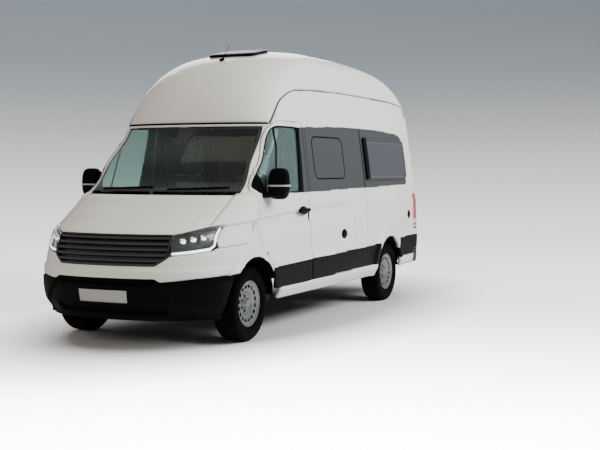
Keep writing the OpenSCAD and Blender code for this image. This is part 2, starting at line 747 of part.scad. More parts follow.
module roof_hatch() {
    color("black")
        difference() {
            intersection() {
                translate([hatch_x, 0, 0])
                    linear_extrude(2*height)
                        polygon(rounded([[hatch_half, hatch_half, corner_r],
                            [hatch_half, -hatch_half, corner_r],
                            [-hatch_half, -hatch_half, corner_r], [-hatch_half, hatch_half, corner_r]]));
                dome(seam_z, -hatch_wall, -hatch_wall);
            }
            dome(seam_z - wall, -fit, -fit);
        }
}
module antenna() {
    foot = [0.262*half_length, 0, 0.940*height];
    color("black") {
        difference() {
            hull() {
                translate(foot)
                    scale([2, 1, 1])
                        sphere(r = 0.4*wall, $fn = 12);
                translate(foot + [-wall, 0, 0.5*wall])
                    sphere(r = 0.2*wall, $fn = 12);
            }
            dome(seam_z, -fit, -fit);
        }
        translate(foot + [-0.3*wall, 0, 0.35*wall])
            rotate([0, -48, 0])
                cylinder(h = 4.6*wall, r = 0.06*wall);
    }
}
screen_angles = spread(screen_angle - 0.1, 0.1 - screen_angle, 12);
screen_low_z = belt_z + 2*shut_gap;
screen_high_z = 0.685*height;
module cab_frame() {
    color("white") {
        difference() {
            nose_shell(spread(nose_side, -nose_side, 22), belt_z + shut_gap, seam_front[1] - fit, 0, wall);
            nose_shell(spread(screen_angle, -screen_angle, 12), belt_z, screen_high_z, -wall, 2*wall);
            both_sides()
                door_prism(shut_gap, 0, width);
        }
    }
}
module hinge_posts() {
    color("gray")
        both_sides()
            door_pins();
}
module windscreen() {
    color("darkslategray")
        nose_shell(screen_angles, screen_low_z + fit, screen_high_z - fit, 0.2*wall, 0.2*wall + glass);
}
module bonnet() {
    color("white") {
        bonnet_shell();
        both_sides()
            bonnet_arm();
    }
}
bonnet_rows = 5;
bonnet_hem_share = 0.25;
// The bonnet is thin at its rear edge, so that it swings clear of the windscreen
module bonnet_shell() {
    angles = spread(bonnet_angle, -bonnet_angle, 14);
    function row(i, share) = [for (a = angles)
        nose_point(a, mix(lookup(abs(a), bonnet_low), lookup(abs(a), bonnet_high), i/bonnet_rows),
            share*bonnet_depth*mix(1, bonnet_hem_share, i/bonnet_rows))];
    slab([for (i = [0:bonnet_rows]) row(i, 0)], [for (i = [0:bonnet_rows]) row(i, 1)]);
}
module bonnet_arm() {
    difference() {
        union() {
            rod_y(bonnet_axis_x, bonnet_axis_z, bonnet_hinge_y - hinge_eye_height, bonnet_hinge_y,
                hinge_eye_radius);
            box([bonnet_axis_x, bonnet_hinge_y - hinge_eye_height, bonnet_axis_z - hinge_eye_radius],
                [bonnet_axis_x + 4*wall, bonnet_hinge_y, bonnet_axis_z + hinge_pin_radius]);
        }
        rod_y(bonnet_axis_x, bonnet_axis_z, 0, width, hinge_pin_radius + play);
    }
}
module scuttle() {
    color("black") {
        difference() {
            box([bulkhead_x + fit, -scuttle_y, bonnet_axis_z - 2.4*bonnet_depth],
                [bonnet_axis_x + 2*bonnet_depth, scuttle_y, bonnet_axis_z - 2*bonnet_depth]);
            arches(arch_radius + 3*liner_wall);
        }
        both_sides() {
            rod_y(bonnet_axis_x, bonnet_axis_z, bonnet_hinge_y - hinge_eye_height - fit - lug,
                bonnet_hinge_y + fit + lug, hinge_pin_radius);
            for (y = [bonnet_hinge_y - hinge_eye_height - fit - lug, bonnet_hinge_y + fit])
                box([bonnet_axis_x - hinge_eye_radius, y, bonnet_axis_z - 2.2*bonnet_depth],
                    [bonnet_axis_x + hinge_eye_radius, y + lug, bonnet_axis_z + hinge_pin_radius]);
        }
    }
}
// Angle between the bonnet's side edge and the wing
bonnet_side_angle = 1.2;
wing_angles = concat([nose_side, wing_rear_angle, wing_angle], spread(lamp_angle, bonnet_angle + bonnet_side_angle, 3));
wing_side_shares = [0, 0.33, 0.66, 0.98];
// Rows of the wing up to the crease of the side, and from there by the height
wing_row_shares = [0, 0.25, 0.5, 0.75];
crease_shares = [0.392, 0.4, 0.436];
module front_wings() {
    color("white")
        both_sides()
            difference() {
                wing_slab();
                arches(arch_radius);
                door_prism(shut_gap, 0, width);
                nose_band(concat([lamp_angle + 0.3], lamp_angles, [grille_angle]), fascia_high,
                    [for (p = lamp_high) [p[0], p[1] + fit]], -0.4*wall, 0.6*wall, 3);
                door_pin_room();
            }
}
module wing_slab() {
    wing_rear_x = front_axle_x - arch_radius - wall;
    wing_high = belt_z + shut_gap - fit;
    function side_column(s, z, t) = let (x = mix(wing_rear_x, nose_point(nose_side, z, 0)[0], s))
        [x, side_y(x, z, t), z];
    function rows(low) = concat([for (s = wing_row_shares) mix(low, crease_shares[0]*height, s)],
        [for (s = crease_shares) s*height], [wing_high]);
    function row(i, t) = concat(
        [for (s = wing_side_shares) side_column(s, rows(door_bottom_z + fit)[i], t)],
        [for (a = wing_angles) nose_point(a, rows(lookup(a, wing_low))[i], t)]);
    count = [0:len(rows(door_bottom_z)) - 1];
    slab([for (i = count) row(i, 0)], [for (i = count) row(i, wing_wall)]);
}
module door_pin_room() {
    post(door_axis_x, door_axis_y, 0, belt_z, hinge_eye_radius + 0.1*lug);
}
module fascia() {
    color("white")
        difference() {
            nose_band(nose_angles, fascia_low, fascia_high, 0, 0.6*wall, 2);
            arches(arch_radius);
        }
}
module front_bumper() {
    color("dimgray")
        difference() {
            nose_band(nose_angles, bumper_low, bumper_high, 0, 0.8*wall, 4);
            arches(arch_radius);
        }
}
module grille() {
    low = [for (p = fascia_high) [p[0], p[1] + 3*fit]];
    high = [[0, grille_top_z - fit]];
    step = (grille_top_z - grille_bottom_z)/(grille_slots + 0.5);
    side = [grille_angle - 0.2, step_angle, grille_low_angle, 16, 8];
    angles = concat(side, [0], [for (i = [len(side) - 1:-1:0]) -side[i]]);
    color("black")
        difference() {
            nose_band(angles, low, high, 0, wall, 4);
            for (i = [0:grille_slots - 1]) let (
                z = grille_bottom_z + (i + 0.45)*step,
                a = i == 0 ? grille_low_angle - 2 : grille_angle - 3
            )
                nose_band(spread(a, -a, 10), [[0, z]], [[0, z + 0.6*step]], -wall, 0.7*wall, 1);
        }
}
lamp_bottom = [for (p = fascia_high) [p[0], p[1] + fit]];
module headlamp_lenses() {
    color("lightgray")
        both_sides()
            nose_band(lamp_angles, lamp_bottom, lamp_high, 0, glass, 3);
}
module headlamp_units() {
    color("gray")
        both_sides()
            nose_band(lamp_angles, lamp_bottom, lamp_high, glass + 0.2*wall, 1.6*wall, 3);
}
// Rear doors
rear_door_shares = [0.25, 0.5, 0.75, 0.9, 1];
rear_window_y_shares = [0.14, 0.88];
module rear_door() {
    rows = levels(rear_door_bottom_z, rear_door_top_z);
    ys = concat([0.5*shut_gap], [for (s = rear_door_shares) s*rear_open_y]);
    ya = rear_window_y_shares[0]*rear_open_y;
    yb = rear_window_y_shares[1]*rear_open_y;
    difference() {
        slab([for (z = rows) [for (y = ys) [tail_x(y, z, 0), y, z]]],
             [for (z = rows) [for (y = ys) [tail_x(y, z, 0) + wall, y, z]]]);
        front_prism(rounded([[ya, window_low_z, corner_r], [yb, window_low_z, corner_r],
            [yb, window_high_z, corner_r], [ya, window_high_z, corner_r]]), -length, 0);
    }
    for (z = rear_hinge_z)
        rear_arm(z);
}
module rear_glass() {
    rows = levels(window_low_z + fit, window_high_z - fit);
    ys = spread(rear_window_y_shares[0]*rear_open_y + fit, rear_window_y_shares[1]*rear_open_y - fit, 4);
    intersection() {
        slab([for (z = rows) [for (y = ys) [tail_x(y, z, 0) + 0.2*wall, y, z]]],
             [for (z = rows) [for (y = ys) [tail_x(y, z, 0) + 0.2*wall + glass, y, z]]]);
        front_prism(rounded([for (s = [[0, 0], [1, 0], [1, 1], [0, 1]]) [
            mix(ys[0], ys[4], s[0]), mix(rows[0], rows[len(rows) - 1], s[1]), corner_r]]), -length, 0);
    }
}
module rear_door_left() {
    color("white")
        rear_door();
}
module rear_door_right() {
    color("white")
        mirror([0, 1, 0])
            rear_door();
}
module rear_door_glass_left() {
    color("slategray")
        rear_glass();
}
module rear_door_glass_right() {
    color("slategray")
        mirror([0, 1, 0])
            rear_glass();
}
module tail_lamps() {
    color("red")
        both_sides()
            tail_lamp_patch(-0.1*wall, 0.5*wall, 0);
}
module rear_bumper() {
    corner = [for (b = [90, 80, 70, 60, 45, 30, 15]) b];
    function row(z, t) = concat(
        [[bumper_side_x - fit, -side_y(bumper_side_x, z, t), z]],
        [for (b = corner) tail_point(-b, z, t)],
        [tail_point(0, z, t)],
        [for (i = [len(corner) - 1:-1:0]) tail_point(corner[i], z, t)],
        [[bumper_side_x - fit, side_y(bumper_side_x, z, t), z]]
    );
    rows = [rear_bumper_z, rear_door_bottom_z - shut_gap];
    color("dimgray")
        slab([for (z = rows) row(z, -half_length - rear_at(z))], [for (z = rows) row(z, 0.6*wall)]);
}
// Cab doors
door_steps = 5;
door_angles = [86, 80, 74, 68, 62, 56];
function door_row(z, t) = concat(
    [for (x = spread(door_rear_x - wall, side_end(z, door_front_x), door_steps)) [x, side_y(x, z, t), z]],
    [for (a = door_angles) nose_point(a, z, t)]
);
module door_slab(t0, t1) {
    rows = levels(door_bottom_z - wall, door_top_z + wall);
    slab([for (z = rows) door_row(z, t0)], [for (z = rows) door_row(z, t1)]);
}
module cab_door() {
    difference() {
        intersection() {
            door_slab(0, wall);
            side_prism(door_outline, 0, width);
        }
        side_prism(door_window, 0, width);
    }
    for (z = door_hinge_z)
        door_arm(z);
}
module cab_glass() {
    intersection() {
        door_slab(0.3*wall, 0.3*wall + glass);
        translate([0, width, 0])
            rotate([90, 0, 0])
                linear_extrude(width)
                    offset(delta = -fit)
                        polygon(door_window);
    }
}
module cab_door_left() {
    color("white")
        cab_door();
}
module cab_door_right() {
    color("white")
        mirror([0, 1, 0])
            cab_door();
}
module cab_glass_left() {
    color("slategray")
        cab_glass();
}
module cab_glass_right() {
    color("slategray")
        mirror([0, 1, 0])
            cab_glass();
}
// Mirror: a tall housing on a short arm
mirror_x = door_front_x - 0.198*door_long;
mirror_z = 1.07*belt_z;
mirror_tall = 0.215*belt_z;
mirror_half_deep = 1.4*wall;
mirror_end_y = half_width + 0.19*half_width;
module wing_mirror() {
    base_y = side_y(mirror_x, mirror_z - 0.5*mirror_tall, 0);
    inner_y = base_y + 0.7*wall;
    plan = rounded([[mirror_half_deep, inner_y, 0.9*wall], [-mirror_half_deep, inner_y, 0.3*wall],
        [-mirror_half_deep, mirror_end_y, 0.3*wall], [0.5*mirror_half_deep, mirror_end_y, 0.9*wall]]);
    hull() {
        translate([mirror_x, 0, mirror_z - 0.5*mirror_tall])
            linear_extrude(mirror_tall)
                offset(delta = -0.4*wall)
                    polygon(plan);
        translate([mirror_x, 0, mirror_z - 0.4*mirror_tall])
            linear_extrude(0.72*mirror_tall)
                polygon(plan);
    }
    box([mirror_x, base_y + fit, mirror_z - 0.5*mirror_tall],
        [mirror_x + 3*mirror_half_deep, inner_y + 0.5*wall, mirror_z - 0.38*mirror_tall]);
}
module mirror_left() {
    color("black")
        wing_mirror();
}
module mirror_right() {
    color("black")
        mirror([0, 1, 0])
            wing_mirror();
}
module dashboard() {
    x1 = bulkhead_x - 0.5*floor_wall - fit;
    color("dimgray")
        difference() {
            side_prism(rounded([[x1, 0.66*belt_z, sharp_radius], [x1, 0.92*belt_z, wall],
                [x1 - 6*wall, 0.93*belt_z, wall],
            [x1 - 9*wall, 0.86*belt_z, wall], [x1 - 7*wall, 0.66*belt_z, wall]]),
                -0.8*half_width, 0.8*half_width);
            at_steering()
                translate([0, 0, -4*wall])
                    cylinder(h = 5*wall, r = 0.5*wall + fit);
        }
}
wheel_ring = 190;
module at_steering() {
    translate([bulkhead_x - 0.5*floor_wall - 9.5*wall, seat_y, 0.83*belt_z])
        rotate([0, -55, 0])
            children();
}
module steering_wheel() {
    color("black")
        at_steering() {
            translate([0, 0, wall])
                rotate_extrude()
                    translate([wheel_ring, 0])
                        circle(r = 0.3*wall);
            translate([0, 0, wall])
                cylinder(h = 0.4*wall, r = 1.2*wall);
            for (a = [90, 210, 330])
                rotate([0, 0, a])
                    translate([0, -0.3*wall, 0.9*wall])
                        cube([wheel_ring, 0.6*wall, 0.3*wall]);
            translate([0, 0, -1.3*wall])
                cylinder(h = 2.4*wall, r = 0.5*wall);
        }
}
// Seat outline: steps of the wall's thickness behind and above the cushion's rear foot
seat_outline_shares = [[-1.2, -3, 1], [8, -3, 1], [8, 0, 1], [1, 0, 0.8], [-2.2, 12, 0.8], [-4.4, 12, 0.8]];
headrest_shares = [[-4.3, 11.5, 0.5], [-2.6, 11.5, 0.5], [-3.1, 16, 0.7], [-5.1, 16, 0.7]];
module cab_seat() {
    w = 0.5*seat_width;
    x = front_axle_x - 0.87*door_rear_share*length;
    box([x, seat_y - 0.7*w, floor_z + fit], [x + 7*wall, seat_y + 0.7*w, seat_z - 2.5*wall]);
    side_prism(rounded([for (s = seat_outline_shares) [x + s[0]*wall, seat_z + s[1]*wall, s[2]*wall]]),
        seat_y - w, seat_y + w);
    side_prism(rounded([for (s = headrest_shares) [x + s[0]*wall, seat_z + s[1]*wall, s[2]*wall]]),
        seat_y - 0.5*w, seat_y + 0.5*w);
}
module cab_seats() {
    color("gray")
        both_sides()
            cab_seat();
}
module cabinets() {
    inner = side_y(0, floor_z, wall) - 2*wall;
    color("burlywood") {
        box([0.02*half_length, 0.42*half_width, floor_z + fit],
            [0.14*half_length, inner - wall, cabinet_z - 9*wall]);
        box([-0.36*half_length, 0.42*half_width, floor_z + fit],
            [0.02*half_length - fit, inner - wall, cabinet_z - 9*wall]);
        box([-0.36*half_length, -inner + wall, floor_z + fit],
            [-0.2*half_length, -0.3*half_width, cabinet_z + 10*wall]);
    }
}
module rear_bed() {
    inner = side_y(rear_axle_x - 2*arch_radius, bed_z, wall) - 1.2*wall;
    x0 = rear_at(bed_z) + 3*wall;
    color("tan") {
        box([x0, -inner, bed_z], [rear_axle_x + arch_radius, inner, bed_z + 3*wall]);
        for (y = [-0.5*inner, 0.5*inner])
            box([x0, y - 0.3*wall, floor_z + fit], [rear_axle_x + arch_radius, y + 0.3*wall, bed_z]);
    }
}
rail_y = 0.43*half_width;
rail_half = 0.8*wall;
rail_z = floor_z - floor_wall - fit;
rail_low_z = rail_z - 2.2*wall;
chassis_front_x = front_at(bumper_top_z) - 4*wall;
// Room above the rear axle's tube
axle_room = 0.4*wall;
axle_tube_radius = 0.9*wall;
module chassis_frame() {
    x0 = rear_at(floor_z) + 2*wall;
    x1 = chassis_front_x;
    color("dimgray")
        difference() {
            union() {
                for (s = [-1, 1])
                    box([x0, s*rail_y - rail_half, rail_low_z], [x1, s*rail_y + rail_half, rail_z]);
                for (x = [x0, rear_axle_x + 1.6*arch_radius, 0, front_axle_x - 1.4*arch_radius, x1 - 2*wall])
                    box([x, -rail_y, rail_low_z + 0.2*wall], [x + 2*wall, rail_y, rail_z - 0.2*wall]);
                box([x0, tow_y - wall, tow_z - wall], [x0 + 3*wall, tow_y + wall, rail_z - 0.3*wall]);
                for (s = [-1, 1], x = jack_x)
                    box([x - wall, s*jack_y - wall, jack_z], [x + wall, s*jack_y + wall, rail_z]);
                for (s = [-1, 1], x = jack_x)
                    box([x - 0.8*wall, min(s*rail_y, s*jack_y), rail_low_z + 0.3*wall],
                        [x + 0.8*wall, max(s*rail_y, s*jack_y), rail_z - 0.3*wall]);
            }
            translate([x0 - wall, tow_y, tow_z])
                rotate([0, 90, 0])
                    cylinder(h = wall + tow_depth, r = tow_radius);
            rod_y(rear_axle_x, axle_z, -wheel_y, wheel_y, axle_tube_radius + axle_room);
        }
}
tow_y = -0.25*half_width;
tow_z = 0.95*sill_z;
// Radius and depth of the socket for the towing eye
tow_radius = 0.2*wall;
tow_depth = 1.4*wall;
jack_x = [rear_axle_x + 1.5*arch_radius, front_axle_x - 1.3*arch_radius];
jack_y = 0.8*half_width;
jack_z = 0.95*sill_z;
module engine_block() {
    color("gray")
        box([front_axle_x + 0.1*arch_radius, -rail_y + rail_half + fit, rail_low_z],
            [chassis_front_x - 2.2*wall, rail_y - rail_half - fit, 0.72*belt_z]);
}
module fuel_tank() {
    color("dimgray")
        box([-0.2*half_length, -0.78*half_width, sill_z - 0.5*wall],
            [0.12*half_length, -rail_y - rail_half - fit, rail_z]);
}
module exhaust() {
    r = 0.6*wall;
    z = rail_low_z - r - 0.5*wall;
    color("silver") {
        translate([rear_axle_x + 1.4*arch_radius, 0.14*half_width, z])
            rotate([0, 90, 0])
                cylinder(h = wheelbase_share*length - 1.7*arch_radius, r = r);
        translate([0.02*half_length, 0.14*half_width, z])
            rotate([0, 90, 0])
                cylinder(h = 10*wall, r = 2*r - 0.2*r);
        for (x = [rear_axle_x + 1.65*arch_radius, front_axle_x - 1.35*arch_radius])
            box([x, 0.14*half_width - 0.2*wall, z + 0.5*r],
                [x + 0.4*wall, 0.14*half_width + 0.2*wall, rail_low_z + 0.2*wall - fit]);
    }
}
kingpin_y = wheel_y - kingpin_inset;
eye_low_z = axle_z - 0.4*tyre_radius;
eye_high_z = axle_z + 0.28*tyre_radius;
module front_suspension() {
    color("dimgray") {
        box([front_axle_x - 2*wall, -rail_y, eye_low_z], [front_axle_x + 2*wall, rail_y, rail_low_z - fit]);
        both_sides() {
            difference() {
                union() {
                    post(front_axle_x, kingpin_y, eye_low_z, eye_low_z + 0.8*wall, 2*kingpin_radius);
                    box([front_axle_x - wall, rail_y - wall, eye_low_z],
                        [front_axle_x + wall, kingpin_y, eye_low_z + 0.8*wall]);
                }
                post(front_axle_x, kingpin_y, 0, height, kingpin_radius + play);
            }
            difference() {
                union() {
                    post(front_axle_x, kingpin_y, eye_high_z, eye_high_z + 0.5*wall, 2*kingpin_radius);
                    box([front_axle_x - 0.5*wall, rail_y + rail_half + fit, eye_high_z],
                        [front_axle_x + 0.5*wall, kingpin_y, eye_high_z + 0.5*wall]);
                }
                post(front_axle_x, kingpin_y, 0, height, kingpin_radius + play);
            }
        }
    }
}
module knuckle() {
    body_low = eye_low_z + 0.8*wall + fit;
    post(front_axle_x, kingpin_y, eye_low_z, eye_high_z + 0.5*wall, kingpin_radius);
    box([front_axle_x - 0.9*wall, kingpin_y - 0.5*wall, body_low],
        [front_axle_x + 0.9*wall, kingpin_y + 0.5*wall, eye_high_z - fit]);
    rod_y(front_axle_x, axle_z, kingpin_y, wheel_y + wall, spindle_radius);
}
module knuckle_left() {
    color("gray")
        knuckle();
}
module knuckle_right() {
    color("gray")
        mirror([0, 1, 0])
            knuckle();
}
spring_y = liner_inner_y - 0.62*wall;
spring_half = 0.5*wall;
module rear_axle() {
    color("dimgray") {
        rod_y(rear_axle_x, axle_z, -kingpin_y, kingpin_y, axle_tube_radius);
        rod_y(rear_axle_x, axle_z, -wheel_y - wall, wheel_y + wall, spindle_radius);
        both_sides() {
            box([rear_axle_x - 1.4*arch_radius, spring_y - spring_half, axle_z + 0.7*wall],
                [rear_axle_x + 1.4*arch_radius, spring_y + spring_half, axle_z + 1.2*wall]);
            for (x = [rear_axle_x - 1.4*arch_radius, rear_axle_x + 1.3*arch_radius])
                box([x, spring_y - spring_half, axle_z + wall],
                    [x + 0.1*arch_radius, spring_y + spring_half, floor_z - floor_wall - fit]);
        }
    }
}
// Wheel: radius and axial place in shares of the flange and the half width
half_rim = rim_width/2;
barrel_shares = [
    [1.000, 1.00], [1.000, 0.90], [0.925, 0.90], [0.915, 0.64], [0.820, 0.48], [0.820, -0.48],
    [0.915, -0.64], [0.925, -0.90], [1.000, -0.90], [1.000, -1.00]
];
disc_shares = [[0.700, 0.80], [0.560, 0.76], [0.450, 0.58], [0.400, 0.50], [0.160, 0.50]];
module rim_body() {
    outer = [for (s = barrel_shares) [s[0]*rim_radius, s[1]*half_rim]];
    inner = [for (i = [len(outer) - 1:-1:3]) outer[i] - [rim_wall, 0]];
    face = [for (s = disc_shares) [s[0]*rim_radius, s[1]*half_rim]];
    back = [for (i = [len(face) - 1:-1:0]) face[i] - [0, rim_wall]];
    rotate_extrude()
        polygon(concat(outer, inner, [[0.79*rim_radius, 0.74*half_rim]],
            [for (i = [len(back) - 1:-1:0]) back[i]], [for (i = [len(face) - 1:-1:0]) face[i]],
            [[0.80*rim_radius, 0.83*half_rim], [0.94*rim_radius, half_rim]]));
}
module rim_local() {
    hub = 2*spindle_radius;
    difference() {
        union() {
            rim_body();
            translate([0, 0, -0.42*half_rim])
                cylinder(h = 0.92*half_rim, r = hub);
            translate([0, 0, -0.42*half_rim])
                cylinder(h = 0.24*half_rim, r = disc_radius);
            for (i = [0:bolt_count - 1])
                rotate([0, 0, i*360/bolt_count])
                    translate([0.32*rim_radius, 0, 0.45*half_rim])
                        cylinder(h = 0.2*half_rim, r = bolt_radius);
        }
        translate([0, 0, -half_rim])
            cylinder(h = 2*half_rim, r = spindle_radius + play);
        for (i = [0:slot_count - 1])
            rotate([0, 0, i*360/slot_count])
                translate([0.63*rim_radius - 0.5*slot_width, -0.5*slot_length, 0.4*half_rim])
                    cube([slot_width, slot_length, half_rim]);
    }
}
// Tyre section: radius share, axial share of the half width
tyre_shares = [
    [0.5785, 0.695], [0.628, 0.705], [0.631, 0.825], [0.665, 0.95], [0.800, 1.00], [0.930, 0.93],
    [0.985, 0.80], [1.000, 0.60]
];
module tyre_local() {
    right = [for (s = tyre_shares) [s[0]*tyre_radius, s[1]*tyre_width/2]];
    left = [for (i = [len(right) - 1:-1:0]) [right[i][0], -right[i][1]]];
    rotate_extrude()
        polygon(concat(right, left));
}
module place_wheel(x, side) {
    translate([x, side*wheel_y, axle_z])
        rotate([-90*side, 0, 0])
            children();
}
module tyre_front_left() {
    color("black")
        place_wheel(front_axle_x, 1)
            tyre_local();
}
module tyre_front_right() {
    color("black")
        place_wheel(front_axle_x, -1)
            tyre_local();
}
module tyre_rear_left() {
    color("black")
        place_wheel(rear_axle_x, 1)
            tyre_local();
}
module tyre_rear_right() {
    color("black")
        place_wheel(rear_axle_x, -1)
            tyre_local();
}
module rim_front_left() {
    color("silver")
        place_wheel(front_axle_x, 1)
            rim_local();
}
module rim_front_right() {
    color("silver")
        place_wheel(front_axle_x, -1)
            rim_local();
}
module rim_rear_left() {
    color("silver")
        place_wheel(rear_axle_x, 1)
            rim_local();
}
module rim_rear_right() {
    color("silver")
        place_wheel(rear_axle_x, -1)
            rim_local();
}

floor_pan();
wheel_housings();
mudflaps();
side_wall_left();
side_wall_right();
sliding_door();
window_frames();
side_windows();
high_roof();
roof_hatch();
antenna();
cab_frame();
hinge_posts();
windscreen();
bonnet();
scuttle();
front_wings();
fascia();
front_bumper();
grille();
headlamp_lenses();
headlamp_units();
rear_door_left();
rear_door_right();
rear_door_glass_left();
rear_door_glass_right();
tail_lamps();
rear_bumper();
cab_door_left();
cab_door_right();
cab_glass_left();
cab_glass_right();
mirror_left();
mirror_right();
dashboard();
steering_wheel();
cab_seats();
cabinets();
rear_bed();
chassis_frame();
engine_block();
fuel_tank();
exhaust();
front_suspension();
knuckle_left();
knuckle_right();
rear_axle();
tyre_front_left();
tyre_front_right();
tyre_rear_left();
tyre_rear_right();
rim_front_left();
rim_front_right();
rim_rear_left();
rim_rear_right();
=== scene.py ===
# %% [markdown]
# # A high-roof camper van
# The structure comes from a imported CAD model: every door, wheel and wall is already in its place, in
# metres. This lesson dresses that frame. Body panels are smooth surfaces worked out with numpy, and each
# one rides on the CAD body that carries it, so the doors still open and the wheels still steer.

# %% Load the frame
import math
import bpy
import numpy as np
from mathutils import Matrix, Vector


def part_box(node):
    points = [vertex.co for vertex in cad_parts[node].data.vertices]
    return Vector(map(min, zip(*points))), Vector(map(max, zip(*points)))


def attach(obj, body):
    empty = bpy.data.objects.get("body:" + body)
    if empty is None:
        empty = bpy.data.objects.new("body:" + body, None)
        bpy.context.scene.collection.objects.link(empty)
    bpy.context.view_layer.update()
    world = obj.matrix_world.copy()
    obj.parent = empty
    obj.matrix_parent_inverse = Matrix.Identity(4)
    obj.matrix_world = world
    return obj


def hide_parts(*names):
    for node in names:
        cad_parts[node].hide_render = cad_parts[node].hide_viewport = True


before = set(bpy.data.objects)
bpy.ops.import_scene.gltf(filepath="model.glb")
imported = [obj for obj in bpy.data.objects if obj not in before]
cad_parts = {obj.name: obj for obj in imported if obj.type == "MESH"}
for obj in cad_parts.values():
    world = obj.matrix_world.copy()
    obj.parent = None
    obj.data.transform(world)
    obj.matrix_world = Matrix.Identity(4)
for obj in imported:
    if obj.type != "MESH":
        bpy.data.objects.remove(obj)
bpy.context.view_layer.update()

# %% [markdown]
# ## Sizes
# The lesson works in millimetres, because a van's drawings do, and turns points into metres when a mesh
# is made. The driving sizes are read from the frame, so the dress always fits the solids under it.

# %% Driving sizes
MM = 0.001


def corner(node, end, axis):
    """One coordinate of a node's box, in millimetres: end 0 is the low corner and 1 the high one."""
    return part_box(node)[end][axis] / MM


def centre_of(node, axis):
    """Middle of a node's box along an axis, in millimetres."""
    return (corner(node, 0, axis) + corner(node, 1, axis)) / 2


HALF_LENGTH = corner("front_bumper", 1, 0)
HALF_WIDTH = corner("side_wall_left", 1, 1)
HEIGHT = corner("high_roof", 1, 2)
FRONT_AXLE, REAR_AXLE = centre_of("tyre_front_left", 0), centre_of("tyre_rear_left", 0)
WHEEL_Y, AXLE_HEIGHT = centre_of("tyre_front_left", 1), centre_of("tyre_front_left", 2)
ARCH_RADIUS = 445
NOSE_LENGTH = 900
PLAN_POWER = 2.5
REAR_TAPER = 0.08
SHUT_GAP = 5
print("half length", round(HALF_LENGTH), "half width", round(HALF_WIDTH), "height", round(HEIGHT))

# %% [markdown]
# ## Camera
# The photograph was taken from the front left, a little below the middle of the windscreen. The camera
# looks level, so upright edges stay upright, and a small downward shift frames the van as a view camera
# would.

# %% Camera
CAMERA_PLACE = (11.314, 5.849, 1.634)
CAMERA_PITCH, CAMERA_TURN = 90, 115.03
FOCAL_LENGTH = 67.0
FRAME_SHIFT = -0.0953
VIEW_END = 200
camera_data = bpy.data.cameras.new("camera")
camera_data.lens = FOCAL_LENGTH
camera_data.shift_y = FRAME_SHIFT
camera_data.clip_end = VIEW_END
camera = bpy.data.objects.new("camera", camera_data)
camera.location = CAMERA_PLACE
camera.rotation_euler = (math.radians(CAMERA_PITCH), 0, math.radians(CAMERA_TURN))
bpy.context.scene.collection.objects.link(camera)
bpy.context.scene.camera = camera
print("camera at", CAMERA_PLACE)

# %% [markdown]
# ## The skin of the body
# A van body can be read as a stack of plan outlines. At each height the table below gives where the front
# end is, how wide the body is and how round its two ends are. A cubic that never overshoots joins the
# heights, so the panels have no facets. All outer panels are cut from this one skin, and so they meet
# without steps.

# %% Skin table
# Columns: height, front end, half width, nose curve, rear end, tail curve, each a share of its size
BODY_LEVEL_SHARES = np.array([
    [0.101, 0.964, 0.949, 1.000, 0.971, 0.133],
    [0.141, 0.992, 0.983, 1.000, 0.979, 0.133],
    [0.188, 1.000, 0.994, 1.000, 0.984, 0.133],
    [0.242, 0.998, 1.000, 1.000, 0.986, 0.133],
    [0.296, 0.986, 1.000, 1.000, 0.986, 0.133],
    [0.337, 0.970, 0.998, 0.989, 0.986, 0.133],
    [0.352, 0.956, 0.997, 0.967, 0.986, 0.133],
    [0.367, 0.927, 0.996, 0.922, 0.985, 0.133],
    [0.392, 0.876, 0.996, 0.811, 0.985, 0.133],
    [0.400, 0.861, 0.987, 0.778, 0.985, 0.133],
    [0.434, 0.792, 0.979, 0.622, 0.984, 0.133],
    [0.463, 0.735, 0.970, 0.489, 0.984, 0.133],
    [0.4695, 0.710, 0.968, 0.472, 0.983, 0.133],
    [0.572, 0.613, 0.932, 0.456, 0.980, 0.133],
    [0.685, 0.506, 0.890, 0.444, 0.974, 0.133],
    [0.703, 0.500, 0.886, 0.450, 0.973, 0.133],
    [0.740, 0.486, 0.869, 0.500, 0.970, 0.144],
    [0.784, 0.460, 0.853, 0.540, 0.962, 0.167],
    [0.825, 0.426, 0.837, 0.570, 0.946, 0.233],
    [0.865, 0.380, 0.816, 0.600, 0.912, 0.340],
    [0.902, 0.328, 0.784, 0.640, 0.859, 0.470],
    [0.932, 0.272, 0.737, 0.680, 0.789, 0.600],
    [0.956, 0.204, 0.668, 0.700, 0.676, 0.700],
    [0.974, 0.124, 0.555, 0.680, 0.556, 0.720],
    [0.988, 0.034, 0.400, 0.560, 0.426, 0.640],
    [0.996, -0.060, 0.210, 0.350, 0.300, 0.400],
    [1.000, -0.190, 0.004, 0.006, 0.204, 0.006],
])
LEVEL_Z = BODY_LEVEL_SHARES[:, 0] * HEIGHT
COLUMN_UNITS = (HALF_LENGTH, HALF_WIDTH, NOSE_LENGTH, -HALF_LENGTH, NOSE_LENGTH)
COLUMNS = BODY_LEVEL_SHARES[:, 1:] * np.array(COLUMN_UNITS)
print("skin table:", BODY_LEVEL_SHARES.shape)

# %% [markdown]
# The table has values at some heights only. These small functions give the values between them, the round
# of the two ends and the narrowing towards the rear.

# %% Curves of the skin


